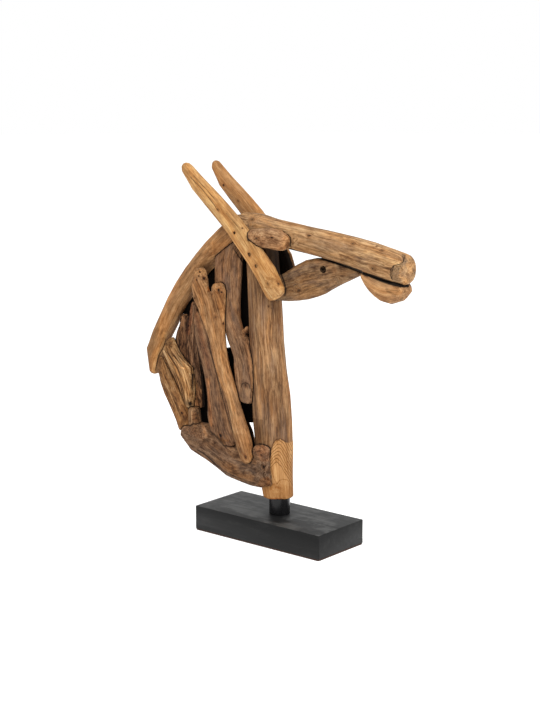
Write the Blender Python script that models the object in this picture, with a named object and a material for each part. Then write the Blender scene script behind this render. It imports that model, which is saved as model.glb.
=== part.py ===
"""A horse's head and neck put together from weathered teak sticks and boards, on a black block.

Metres, +Z up, +X the way the nose points, and -Y the side called near. The origin is the middle
of the underside. The horse is drawn in units from the foot of its neck post, and its drawing is
scaled to HORSE_HEIGHT. What is laid against a neighbour is cut to fit it, as the maker shapes
each stick to the next.
"""

import math

import bmesh
import bpy
from mathutils import Matrix, Vector, noise

# The stand
PLINTH_LENGTH = 0.320
PLINTH_DEPTH = 0.142
PLINTH_HEIGHT = 0.048
PLINTH_EDGE = 0.002
PAD_THICKNESS = 0.003
PAD_INSET = 0.0015
TUBE_DIAMETER = 0.042
TUBE_WALL = 0.003
TUBE_SHOWING = 0.034
TUBE_FORWARD = 0.004

# The horse, from the foot of its post to the tips of its ears
HORSE_HEIGHT = 0.660
EYE_DIAMETER = 0.0145
EYE_DEPTH = 0.010
EYE_CORE_DIAMETER = 0.006
EYE_CORE_DEPTH = 0.004
WORM_HOLE_DIAMETER = 0.0045
WORM_HOLE_DEPTH = 0.007

# Thickness of each flat stick or board, across the horse
EAR_THICKNESS = 0.022
CHEEK_THICKNESS = 0.028
CHIN_THICKNESS = 0.044
BROW_THICKNESS = 0.032
PLANK_THICKNESS = 0.024
FORK_THICKNESS = 0.017
MIDDLE_THICKNESS = 0.018
ROTTED_THICKNESS = 0.020
WEDGE_THICKNESS = 0.024
BACK_THICKNESS = 0.022
STUB_THICKNESS = 0.023
FAR_THICKNESS = 0.018

# How high the flat face reaches that is shaved on the post's foot
SHAVED_HEIGHT = 0.118

# How far the inner faces of the ears and of the far boards lie from the middle plane
EAR_SEAT = 0.0295
FAR_FACE = 0.008

# What touching pieces keep between them
CLEARANCE = 0.0003

# The horse is drawn 660 units tall, which are millimetres at its real height
UNIT = HORSE_HEIGHT / 660
PLINTH_TOP = PAD_THICKNESS + CLEARANCE + PLINTH_HEIGHT
FOOT_HEIGHT = PLINTH_TOP + TUBE_SHOWING + 2 * CLEARANCE


def clear_scene():
    for thing in list(bpy.data.objects):
        bpy.data.objects.remove(thing, do_unlink=True)


def finish(name, colour, roughness, metallic=0.0):
    """One plain finish."""
    material = bpy.data.materials.new(name)
    material.use_nodes = True
    shader = material.node_tree.nodes["Principled BSDF"]
    shader.inputs["Base Color"].default_value = (*colour, 1.0)
    shader.inputs["Roughness"].default_value = roughness
    shader.inputs["Metallic"].default_value = metallic
    material.diffuse_color = (*colour, 1.0)
    return material


def place(x, y, z):
    """A point of the horse's drawing, in metres."""
    return Vector((TUBE_FORWARD + x * UNIT, y * UNIT, FOOT_HEIGHT + z * UNIT))


def add(name, mesh, material=None):
    thing = bpy.data.objects.new(name, mesh)
    bpy.context.scene.collection.objects.link(thing)
    if material:
        mesh.materials.append(material)
    return thing


def closed(name, shape, material=None):
    """The object of a bmesh whose faces are all turned outwards."""
    bmesh.ops.recalc_face_normals(shape, faces=shape.faces)
    bmesh.ops.triangulate(shape, faces=shape.faces)
    mesh = bpy.data.meshes.new(name)
    shape.to_mesh(mesh)
    shape.free()
    mesh.shade_smooth()
    mesh.set_sharp_from_angle(angle=math.radians(50))
    return add(name, mesh, material)


def helper(thing):
    """Marks a cutter, which is no part of the object."""
    thing.hide_render = True
    thing.display_type = "WIRE"
    return thing


def smooth_row(rows, reach, at):
    """The row at a distance along the stick, on a curve through all its rows."""
    i = max(k for k in range(len(rows) - 1) if reach[k] <= at or k == 0)
    span = reach[i + 1] - reach[i]
    share = (at - reach[i]) / span

    def slope(k):
        a, b = max(k - 1, 0), min(k + 1, len(rows) - 1)
        return [(q - p) / (reach[b] - reach[a]) for p, q in zip(rows[a], rows[b])]

    start, end = slope(i), slope(i + 1)
    s2, s3 = share * share, share * share * share
    return [
        (2 * s3 - 3 * s2 + 1) * p
        + (s3 - 2 * s2 + share) * span * m
        + (3 * s2 - 2 * s3) * q
        + (s3 - s2) * span * n
        for p, q, m, n in zip(rows[i], rows[i + 1], start, end)
    ]


def stick(name, rows, material=None, ends=((4, 0.8), (4, 0.8)), box=2.4, sides=12, rings=8, lump=1.2):
    """A closed stick through rows of (x, z, width, y, depth) in the drawing's units.

    ends holds, for the first and the last end, the length that is rounded off and the share of
    the width left at its face. box is 2 for a round section and more for a squarer one. lump is
    the height of the uneven places.
    """
    reach = [0.0]
    for a, b in zip(rows, rows[1:]):
        reach.append(reach[-1] + math.dist(a[:2], b[:2]))
    length = reach[-1]
    (first, first_cap), (last, last_cap) = ends
    rounding = (0.0, 0.3)
    steps = [first * share for share in rounding]
    steps += [first + (length - first - last) * k / rings for k in range(rings + 1)]
    steps += [length - last * share for share in reversed(rounding)]
    shape = bmesh.new()
    loops = []
    for at in steps:
        x, z, width, y, depth = smooth_row(rows, reach, at)
        ahead = smooth_row(rows, reach, min(at + 1.0, length))
        behind = smooth_row(rows, reach, max(at - 1.0, 0.0))
        way = Vector((ahead[0] - behind[0], ahead[1] - behind[1])).normalized()
        shrink = 1.0
        for gone, span, cap in ((at, first, first_cap), (length - at, last, last_cap)):
            if gone < span:
                shrink *= cap + (1 - cap) * math.sqrt(1 - (1 - gone / span) ** 2)
        loop = []
        for k in range(sides):
            angle = 2 * math.pi * (k + 0.5) / sides
            c, s = math.cos(angle), math.sin(angle)
            out = shrink * (abs(c) ** box + abs(s) ** box) ** (-1 / box)
            across, deep = c * out * width / 2, s * out * depth / 2
            point = Vector((x - way.y * across, y + deep, z + way.x * across))
            swell = 1 + lump * noise.noise(point / 32 + Vector((0, 0, 7))) / max(width, 12) * 2
            across, deep = across * swell, deep * swell
            loop.append(shape.verts.new(place(x - way.y * across, y + deep, z + way.x * across)))
        loops.append(loop)
    for a, b in zip(loops, loops[1:]):
        for k in range(sides):
            shape.faces.new((a[k - 1], a[k], b[k], b[k - 1]))
    shape.faces.new(loops[0])
    shape.faces.new(loops[-1][::-1])
    return closed(name, shape, material)


def flat(rows, y, thickness):
    """Rows of (x, z, width) with one place across the horse, and a thickness in metres."""
    return [(x, z, width, y, thickness / UNIT) for x, z, width in rows]


def leaning(rows, top, foot, thickness):
    """Rows of (x, z, width) whose place across the horse goes from top to foot."""
    high, low = rows[0][1], rows[-1][1]
    return [
        (x, z, width, foot + (top - foot) * (z - low) / (high - low), thickness / UNIT)
        for x, z, width in rows
    ]


def change(thing, other, operation):
    boolean = thing.modifiers.new(operation.title() + " " + other.name, "BOOLEAN")
    boolean.operation = operation
    boolean.object = other
    boolean.solver = "EXACT"


def room(thing):
    """The space that a piece needs, CLEARANCE larger than the piece all round."""
    name = thing.name + "_room"
    if name in bpy.data.objects:
        return bpy.data.objects[name]
    space = helper(add(name, thing.data))
    grow = space.modifiers.new("Grow", "DISPLACE")
    grow.strength = CLEARANCE
    grow.mid_level = 0.0
    return space


def fit(thing, *neighbours):
    """Cuts a piece to lie against its neighbours, with all that is joined to them."""
    for neighbour in neighbours:
        joined = [m.object for m in neighbour.modifiers if getattr(m, "operation", "") == "UNION"]
        for body in (neighbour, *joined):
            change(thing, room(body), "DIFFERENCE")


def saw(thing, point, way):
    """Saws off what lies beyond a flat cut through a point, in the direction given."""
    reach = 0.25
    shape = bmesh.new()
    bmesh.ops.create_cube(shape, size=reach)
    bmesh.ops.translate(shape, verts=shape.verts, vec=(0, 0, reach / 2))
    turn = Vector(way).to_track_quat("Z", "Y").to_matrix().to_4x4()
    bmesh.ops.transform(shape, verts=shape.verts, matrix=Matrix.Translation(point) @ turn)
    change(thing, helper(closed(f"{thing.name}_saw", shape)), "DIFFERENCE")


def drill(thing, x, y, z, diameter, depth, side=-1, segments=12):
    """A blind hole from the near side (-1) or the far side (1), whose mouth is at y."""
    mouth = 0.010
    shape = bmesh.new()
    bmesh.ops.create_cone(
        shape,
        cap_ends=True,
        segments=segments,
        radius1=diameter / 2,
        radius2=diameter / 2,
        depth=depth + mouth,
        matrix=Matrix.Rotation(math.pi / 2, 4, "X"),
    )
    middle = place(x, y, z) + Vector((0, side * (mouth - depth) / 2, 0))
    bmesh.ops.translate(shape, verts=shape.verts, vec=middle)
    change(thing, helper(closed(f"{thing.name}_hole", shape)), "DIFFERENCE")


def box_between(name, low, high):
    """A box between two corners in metres."""
    shape = bmesh.new()
    bmesh.ops.create_cube(shape, size=1.0)
    bmesh.ops.scale(shape, verts=shape.verts, vec=high - low)
    bmesh.ops.translate(shape, verts=shape.verts, vec=(high + low) / 2)
    return closed(name, shape)


# The stand


def make_plinth():
    low = Vector((-PLINTH_LENGTH / 2, -PLINTH_DEPTH / 2, PAD_THICKNESS + CLEARANCE))
    high = Vector((PLINTH_LENGTH / 2, PLINTH_DEPTH / 2, PLINTH_TOP))
    plinth = box_between("plinth", low, high)
    plinth.data.materials.append(finish("black_paint", (0.022, 0.022, 0.023), 0.55))
    edge = plinth.modifiers.new("Edge", "BEVEL")
    edge.width = PLINTH_EDGE
    edge.segments = 2
    return plinth


def make_pad():
    half = Vector((PLINTH_LENGTH / 2 - PAD_INSET, PLINTH_DEPTH / 2 - PAD_INSET, 0))
    pad = box_between("felt_pad", -half, half + Vector((0, 0, PAD_THICKNESS)))
    pad.data.materials.append(finish("brown_felt", (0.11, 0.05, 0.035), 0.95))
    return pad


def make_tube():
    """The short tube between the plinth and the post, open inside."""
    shape = bmesh.new()
    low, high = PLINTH_TOP + CLEARANCE, PLINTH_TOP + CLEARANCE + TUBE_SHOWING
    inner = TUBE_DIAMETER / 2 - TUBE_WALL
    rings = []
    for radius, z in (
        (TUBE_DIAMETER / 2, low),
        (TUBE_DIAMETER / 2, high),
        (inner, high),
        (inner, low),
    ):
        turns = [2 * math.pi * k / 32 for k in range(32)]
        rings.append(
            [
                shape.verts.new((TUBE_FORWARD + radius * math.cos(a), radius * math.sin(a), z))
                for a in turns
            ]
        )
    for a, b in zip(rings, rings[1:] + rings[:1]):
        for k in range(32):
            shape.faces.new((a[k - 1], a[k], b[k], b[k - 1]))
    return closed("tube", shape, finish("black_metal", (0.018, 0.018, 0.019), 0.32, 0.6))


# The head


def make_muzzle():
    rows = [
        (-102, 541, 42),
        (-66, 538, 53),
        (-24, 531, 53),
        (26, 525, 52),
        (60, 521, 52),
        (118, 515, 54),
        (196, 502, 60),
        (252, 491, 61),
        (284, 484, 62),
        (305, 486, 58),
    ]
    rows = [(x, z, width, 0, width) for x, z, width in rows]
    return stick(
        "muzzle_log",
        rows,
        finish("muzzle_teak", (0.38, 0.22, 0.105), 0.7),
        ends=((14, 0.6), (9, 0.72)),
        box=2.1,
        sides=16,
        rings=10,
    )


def make_brow():
    rows = [
        (-50, 518, 22),
        (-40, 519, 32),
        (-10, 520, 39),
        (18, 520, 41),
        (36, 516, 35),
        (46, 513, 27),
    ]
    brow = stick(
        "brow_block",
        flat(rows, -33, BROW_THICKNESS),
        finish("brow_teak", (0.34, 0.19, 0.095), 0.75),
        ends=((10, 0.5), (8, 0.6)),
        rings=5,
    )
    return brow


def make_chin():
    rows = [
        (211, 471, 10),
        (223, 460, 25),
        (243, 448, 40),
        (264, 441, 46),
        (282, 443, 42),
        (298, 455, 27),
    ]
    return stick(
        "chin_block",
        flat(rows, 0, CHIN_THICKNESS),
        finish("chin_teak", (0.43, 0.26, 0.125), 0.7),
        ends=((5, 0.5), (6, 0.6)),
        box=3.2,
        rings=7,
    )


def make_cheek():
    rows = [
        (-12, 418, 44),
        (12, 422, 52),
        (45, 433, 66),
        (80, 447, 74),
        (112, 457, 67),
        (145, 464, 47),
        (175, 468, 28),
        (199, 471, 10),
    ]
    cheek = stick(
        "cheek_board",
        flat(rows, 0, CHEEK_THICKNESS),
        finish("cheek_teak", (0.27, 0.165, 0.09), 0.75),
        ends=((4, 0.85), (6, 0.5)),
        box=3.6,
        rings=9,
    )
    eye = (116, -CHEEK_THICKNESS / 2 / UNIT, 468)
    drill(cheek, *eye, EYE_DIAMETER, EYE_DEPTH)
    drill(cheek, *eye, EYE_CORE_DIAMETER, EYE_DEPTH + EYE_CORE_DEPTH, segments=8)
    far_eye = (116, CHEEK_THICKNESS / 2 / UNIT, 468)
    drill(cheek, *far_eye, EYE_DIAMETER, EYE_DEPTH, side=1)
    return cheek


def ear_rows(rows, side):
    """An ear leans on its seat and spreads a little towards its tip."""
    middle = (EAR_SEAT + EAR_THICKNESS / 2) / UNIT
    spread = [5.0, 4.0, 2.0, 0.5, 0.0, 0.0, 0.0, 0.0, 0.0]
    return [
        (x, z, width, side * (middle + more), EAR_THICKNESS / UNIT)
        for (x, z, width), more in zip(rows, spread)
    ]


def make_near_ear():
    rows = [
        (-207, 655, 16),
        (-192, 634, 29),
        (-157, 602, 37),
        (-118, 570, 40),
        (-79, 536, 43),
        (-45, 501, 45),
        (-15, 470, 46),
        (11, 437, 52),
        (28, 408, 43),
    ]
    ear = stick(
        "near_ear",
        ear_rows(rows, -1),
        finish("honey_teak", (0.56, 0.33, 0.13), 0.6),
        ends=((12, 0.35), (12, 0.45)),
        box=2.8,
        rings=8,
    )
    face = -(EAR_SEAT + EAR_THICKNESS) / UNIT
    for x, z in ((-72, 528), (-33, 489), (-16, 468)):
        drill(ear, x, face, z, WORM_HOLE_DIAMETER, WORM_HOLE_DEPTH, segments=8)
    return ear


def make_far_ear():
    rows = [
        (-208, 655, 13),
        (-197, 634, 26),
        (-167, 607, 35),
        (-134, 581, 40),
        (-103, 553, 45),
        (-71, 521, 48),
        (-41, 488, 50),
        (-19, 457, 48),
        (-5, 426, 36),
    ]
    return stick(
        "far_ear",
        ear_rows(rows, 1),
        finish("tan_teak", (0.42, 0.235, 0.1), 0.65),
        ends=((12, 0.35), (12, 0.45)),
        box=2.8,
        rings=8,
    )


# The neck


def make_post():
    rows = [
        (-2, -12, 58),
        (-3, 0, 60),
        (-5, 16, 62),
        (-12, 72, 72),
        (-16, 127, 78),
        (-21, 194, 76),
        (-28, 254, 72),
        (-34, 317, 68),
        (-38, 393, 66),
        (-43, 468, 63),
        (-46, 518, 60),
    ]
    rows = [(x, z, width, 0, width) for x, z, width in rows]
    post = stick(
        "neck_post",
        rows,
        finish("post_teak", (0.31, 0.19, 0.1), 0.75),
        ends=((7, 0.8), (4, 0.9)),
        box=2.1,
        sides=16,
        rings=10,
        lump=1.6,
    )
    return post


def trim_post(post):
    """Saws the post level at its foot and shaves a flat face on the front of its lower end."""
    saw(post, place(0, 0, 0), (0, 0, -1))
    facing, foot, top = Vector((0.64, -0.77, 0)), 23, 39
    slope = math.atan((top - foot) * UNIT / SHAVED_HEIGHT)
    way = facing * math.cos(slope) + Vector((0, 0, -math.sin(slope)))
    saw(post, place(*(facing * foot)), way)


def make_crest():
    rows = [
        (-89, 540, 50, 0, 66),
        (-126, 512, 49, 0, 72),
        (-186, 465, 43, 0, 54),
        (-227, 425, 42, 0, 46),
        (-263, 380, 41, 0, 43),
        (-298, 325, 41, 0, 41),
        (-325, 279, 38, 0, 40),
        (-336, 251, 43, 0, 38),
        (-341, 229, 36, 0, 34),
        (-337, 205, 16, 0, 24),
    ]
    crest = stick(
        "crest_beam",
        rows,
        finish("crest_teak", (0.39, 0.215, 0.095), 0.65),
        ends=((6, 0.75), (8, 0.5)),
        box=2.8,
        sides=12,
        rings=10,
    )
    return crest


def cut_ear_seats(crest):
    """The flat seats on both sides of the crest where the ears are fixed."""
    for side in (-1, 1):
        low = place(-148, EAR_SEAT / UNIT + 1, 440)
        high = place(-40, EAR_SEAT / UNIT + 30, 620)
        seat = box_between(f"ear_seat_{side}", low, high)
        if side < 0:
            seat.data.transform(Matrix.Scale(-1, 4, (0, 1, 0)))
            seat.data.flip_normals()
        change(crest, helper(seat), "DIFFERENCE")


def make_wing():
    rows = [
        (-245, 108, 18, -12, 28),
        (-233, 97, 46, -12, 40),
        (-206, 91, 68, -12, 44),
        (-170, 83, 74, -12, 46),
        (-130, 64, 66, -13, 48),
        (-92, 55, 71, -14, 52),
        (-58, 54, 74, -16, 56),
        (-25, 57, 75, -20, 58),
        (5, 59, 66, -22, 56),
    ]
    wing = stick(
        "wing_block",
        rows,
        finish("wing_teak", (0.2, 0.115, 0.065), 0.85),
        ends=((10, 0.4), (4, 0.85)),
        box=2.8,
        sides=14,
        rings=9,
        lump=3.0,
    )
    knob = stick(
        "wing_knob",
        [(-34, 90, 28, -34, 26), (-14, 96, 34, -36, 28), (4, 94, 28, -37, 24)],
        ends=((8, 0.5), (6, 0.6)),
        rings=3,
        sides=12,
    )
    change(wing, helper(knob), "UNION")
    return wing


def make_plank():
    rows = [
        (-124, 514, 56),
        (-119, 490, 66),
        (-119, 462, 68),
        (-120, 436, 68),
        (-118, 400, 62),
        (-108, 350, 42),
        (-99, 324, 38),
        (-84, 302, 48),
        (-70, 284, 60),
        (-65, 260, 61),
        (-62, 235, 58),
        (-60, 208, 50),
        (-62, 188, 30),
    ]
    plank = stick(
        "upper_plank",
        leaning(rows, -12, -28, PLANK_THICKNESS),
        finish("plank_teak", (0.21, 0.125, 0.075), 0.85),
        ends=((6, 0.8), (8, 0.7)),
        box=3.4,
        rings=10,
    )
    knob = stick(
        "plank_knot",
        [(-84, 318, 14, -14, 16), (-74, 328, 12, -15, 14), (-69, 338, 7, -16, 9)],
        ends=((2, 0.9), (3, 0.5)),
        rings=3,
        sides=10,
    )
    change(plank, helper(knob), "UNION")
    return plank


def make_fork():
    """The forked slat: two prongs at the top, the left one taller, and one pointed foot."""
    body = [
        (-154, 401, 83),
        (-151, 385, 80),
        (-148, 369, 71),
        (-145, 354, 65),
        (-140, 338, 54),
        (-135, 320, 43),
        (-131, 301, 39),
        (-123, 275, 37),
        (-113, 244, 34),
        (-96, 211, 32),
        (-85, 184, 30),
        (-70, 145, 36),
        (-59, 115, 42),
        (-49, 88, 37),
        (-42, 70, 22),
    ]
    fork = stick(
        "fork_slat",
        leaning(body, -32, -44.5, FORK_THICKNESS),
        finish("fork_teak", (0.37, 0.22, 0.11), 0.7),
        ends=((12, 0.5), (10, 0.5)),
        box=3.0,
        rings=12,
    )
    left_prong = [
        (-183, 447, 22),
        (-182, 436, 32),
        (-181, 420, 40),
        (-181, 403, 44),
        (-175, 390, 45),
        (-167, 372, 36),
    ]
    right_prong = [
        (-135, 421, 26),
        (-133, 413, 35),
        (-131, 402, 38),
        (-130, 387, 36),
        (-128, 366, 24),
    ]
    for name, rows in (("fork_left", left_prong), ("fork_right", right_prong)):
        prong = stick(
            name,
            leaning(rows, -30, -33.5, FORK_THICKNESS),
            ends=((7, 0.6), (6, 0.6)),
            box=3.2,
            sides=10,
            rings=4,
        )
        change(fork, helper(prong), "UNION")
    return fork


def make_middle():
    rows = [
        (-201, 355, 10),
        (-193, 338, 34),
        (-184, 315, 50),
        (-173, 288, 56),
        (-161, 258, 58),
        (-149, 228, 62),
        (-143, 200, 64),
        (-138, 168, 68),
        (-135, 142, 76),
        (-129, 118, 70),
        (-120, 99, 58),
        (-111, 84, 44),
    ]
    return stick(
        "middle_slat",
        leaning(rows, -18, -22, MIDDLE_THICKNESS),
        finish("slat_teak", (0.22, 0.135, 0.08), 0.85),
        ends=((10, 0.4), (10, 0.5)),
        box=3.0,
        rings=9,
    )


def make_rotted():
    """The rotted board, with a tall splinter and a lower broken shoulder at its top."""
    rows = [
        (-221, 374, 8),
        (-222, 345, 30),
        (-225, 318, 54),
        (-230, 290, 66),
        (-230, 262, 64),
        (-230, 228, 50),
        (-222, 190, 36),
        (-214, 150, 26),
    ]
    board = stick(
        "rotted_board",
        flat(rows, -1, ROTTED_THICKNESS),
        finish("rotted_teak", (0.19, 0.085, 0.05), 0.9),
        ends=((8, 0.4), (4, 0.8)),
        box=2.8,
        rings=9,
        lump=3.0,
    )
    shoulder_rows = [(-250, 342, 18), (-252, 320, 25), (-256, 296, 34), (-262, 266, 38), (-258, 240, 28)]
    shoulder = stick(
        "rotted_shoulder",
        flat(shoulder_rows, -4, 0.75 * ROTTED_THICKNESS),
        ends=((5, 0.5), (5, 0.5)),
        rings=5,
        sides=10,
        lump=3.0,
    )
    change(board, helper(shoulder), "UNION")
    return board


def make_wedge():
    rows = [
        (-298, 294, 40),
        (-286, 275, 38),
        (-266, 246, 38),
        (-241, 219, 49),
        (-232, 192, 36),
        (-227, 171, 23),
        (-225, 150, 10),
    ]
    wedge = stick(
        "split_wedge",
        flat(rows, -16, WEDGE_THICKNESS),
        finish("wedge_teak", (0.46, 0.28, 0.13), 0.75),
        ends=((3, 0.85), (5, 0.5)),
        box=3.6,
        rings=7,
        lump=2.5,
    )
    saw(wedge, place(-285, 0, 277), (-0.85, 0, 0.525))
    return wedge


def make_back_stick():
    rows = [
        (-304, 247, 20),
        (-304, 228, 29),
        (-297, 206, 39),
        (-284, 182, 44),
        (-266, 155, 47),
        (-250, 128, 45),
        (-243, 101, 34),
    ]
    return stick(
        "back_stick",
        flat(rows, -10, BACK_THICKNESS),
        finish("back_teak", (0.29, 0.165, 0.085), 0.75),
        ends=((5, 0.6), (4, 0.8)),
        box=2.8,
        rings=7,
    )


def make_stub():
    rows = [(-216, 154, 24), (-214, 132, 29), (-211, 98, 28)]
    return stick(
        "short_stub",
        flat(rows, -16, STUB_THICKNESS),
        finish("stub_teak", (0.27, 0.16, 0.09), 0.85),
        ends=((4, 0.7), (3, 0.8)),
        rings=3,
        sides=12,
    )


FAR_BOARDS = {
    "far_front_board": (
        [
            (-102, 512, 50),
            (-107, 470, 80),
            (-107, 394, 84),
            (-105, 350, 80),
            (-95, 322, 64),
            (-91, 254, 66),
            (-87, 190, 68),
            (-84, 136, 68),
        ],
        (0.2, 0.12, 0.07),
        (8, 0.7),
        (3, 0.9),
    ),
    "far_long_slat": (
        [
            (-197, 452, 30),
            (-193, 430, 36),
            (-184, 385, 36),
            (-178, 325, 34),
            (-173, 270, 36),
            (-167, 210, 38),
            (-160, 150, 40),
            (-152, 100, 38),
            (-146, 62, 24),
        ],
        (0.33, 0.2, 0.1),
        (8, 0.5),
        (8, 0.5),
    ),
    "far_short_slat": (
        [
            (-146, 282, 22),
            (-143, 255, 31),
            (-137, 200, 34),
            (-126, 150, 38),
            (-104, 100, 47),
            (-94, 66, 42),
        ],
        (0.24, 0.14, 0.075),
        (5, 0.6),
        (8, 0.5),
    ),
    "far_back_slat": (
        [
            (-266, 398, 24),
            (-258, 362, 34),
            (-248, 320, 40),
            (-237, 270, 44),
            (-226, 220, 44),
            (-217, 160, 40),
            (-210, 100, 34),
        ],
        (0.27, 0.155, 0.085),
        (6, 0.6),
        (4, 0.8),
    ),
}


def make_far_boards():
    """The plainer boards of the side turned away from the viewer."""
    boards = {}
    for name, (rows, colour, top, bottom) in FAR_BOARDS.items():
        boards[name] = stick(
            name,
            flat(rows, (FAR_FACE + FAR_THICKNESS / 2) / UNIT, FAR_THICKNESS),
            finish(name + "_teak", colour, 0.8),
            ends=(top, bottom),
            box=3.0,
            sides=10,
            rings=6,
        )
    return boards


def main():
    clear_scene()
    make_pad()
    make_plinth()
    make_tube()

    muzzle, post, crest, wing = make_muzzle(), make_post(), make_crest(), make_wing()
    near_ear, far_ear = make_near_ear(), make_far_ear()
    brow, cheek, chin = make_brow(), make_cheek(), make_chin()
    plank, fork, middle, rotted = make_plank(), make_fork(), make_middle(), make_rotted()
    wedge, back, stub = make_wedge(), make_back_stick(), make_stub()
    far = make_far_boards()

    trim_post(post)
    cut_ear_seats(crest)
    fit(post, muzzle)
    fit(crest, muzzle, near_ear, far_ear)
    fit(wing, post)
    fit(near_ear, post, muzzle, brow)
    fit(far_ear, post, muzzle)
    fit(brow, muzzle, post)
    fit(cheek, post, muzzle)
    fit(chin, muzzle)
    fit(back, crest, wing)
    fit(plank, crest, post, muzzle)
    fit(fork, crest, plank, wing)
    fit(rotted, crest)
    fit(middle, fork, rotted, wing, plank)
    fit(wedge, crest, back, rotted, middle)
    fit(stub, wing, wedge, rotted, back)
    fit(far["far_front_board"], crest, post, muzzle, far_ear)
    fit(far["far_long_slat"], crest, wing, muzzle)
    fit(far["far_short_slat"], far["far_front_board"], far["far_long_slat"], wing)
    fit(far["far_back_slat"], crest, wing, back, stub, rotted, far["far_long_slat"])


main()
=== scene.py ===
"""The looks of a horse's head built from weathered teak sticks, on a black block.

Marks on the wood, such as knots, worm holes and streaks, are placed by the spot (u, v) of the
540 x 720 photograph where they show, carried along the line of sight to the piece itself.
"""

import itertools
import math
from collections import namedtuple

import bmesh
import bpy
import numpy as np
from mathutils import Matrix, Vector
from mathutils.bvhtree import BVHTree


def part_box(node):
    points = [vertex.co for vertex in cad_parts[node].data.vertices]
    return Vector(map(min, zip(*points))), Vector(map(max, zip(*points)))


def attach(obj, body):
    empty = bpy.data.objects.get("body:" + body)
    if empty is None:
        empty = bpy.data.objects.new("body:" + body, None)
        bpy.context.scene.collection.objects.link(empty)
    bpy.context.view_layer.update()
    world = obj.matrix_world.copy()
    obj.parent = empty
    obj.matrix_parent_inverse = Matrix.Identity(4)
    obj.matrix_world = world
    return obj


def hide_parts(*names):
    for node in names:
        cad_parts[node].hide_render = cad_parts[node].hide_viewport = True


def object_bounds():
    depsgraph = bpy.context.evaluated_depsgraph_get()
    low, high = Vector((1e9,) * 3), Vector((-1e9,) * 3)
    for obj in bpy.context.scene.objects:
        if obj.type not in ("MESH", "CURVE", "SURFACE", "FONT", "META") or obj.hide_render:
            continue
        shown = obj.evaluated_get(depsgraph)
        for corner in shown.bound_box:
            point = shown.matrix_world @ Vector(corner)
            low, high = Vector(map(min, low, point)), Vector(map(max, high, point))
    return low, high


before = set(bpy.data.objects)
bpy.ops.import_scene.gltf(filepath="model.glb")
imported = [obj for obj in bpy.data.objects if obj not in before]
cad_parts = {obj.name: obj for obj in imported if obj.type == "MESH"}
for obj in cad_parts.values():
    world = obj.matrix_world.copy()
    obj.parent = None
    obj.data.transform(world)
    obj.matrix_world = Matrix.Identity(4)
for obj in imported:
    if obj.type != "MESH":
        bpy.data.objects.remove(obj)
cad_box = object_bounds()

MM = 0.001

# The camera, from the edges of the block in the photograph
PHOTO_WIDTH, PHOTO_HEIGHT = 540, 720
SENSOR, LENS = 36.0, 80.0
FOCUS_PIXELS = PHOTO_HEIGHT * LENS / SENSOR
MIDDLE_PIXEL = (PHOTO_WIDTH / 2, PHOTO_HEIGHT / 2)
CAMERA_PLACE = Vector((1.9708, -2.3747, 0.9817))
AZIMUTH = math.radians(39.99)
ELEVATION = math.radians(11.34)
LEVEL = math.cos(ELEVATION)
BACK = Vector((math.sin(AZIMUTH) * LEVEL, -math.cos(AZIMUTH) * LEVEL, math.sin(ELEVATION)))
RIGHT = Vector((math.cos(AZIMUTH), math.sin(AZIMUTH), 0.0))
UP = BACK.cross(RIGHT)

# How much brighter the lights make a surface than its own colour, and the curve of the picture's tones
LIGHT_GAIN = 1.5
TONE_CURVE = 2.2

# Where the lamps point
SCULPTURE_MIDDLE = Vector((0, 0, 0.4))

# The dark of cracks and holes and the painted shade of gaps, and the fresh wood of the shaved foot: its tones
# and its ring lines
BLACK = (0.003, 0.002, 0.0015, 1.0)
GOLDEN_WOOD = ((0.42, (158, 109, 62)), (0.5, (186, 136, 86)), (0.58, (210, 162, 108)))
GOLDEN_WOOD_RINGS = (98, 58, 26)


def placed(name, data):
    """An object of the scene with this data."""
    made = bpy.data.objects.new(name, data)
    bpy.context.scene.collection.objects.link(made)
    return made


# Materials


def linear(red, green, blue):
    """The surface colour that shows as this colour of the photograph under the studio's light."""
    return tuple(((value / 255) ** TONE_CURVE) / LIGHT_GAIN for value in (red, green, blue)) + (1.0,)


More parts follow.
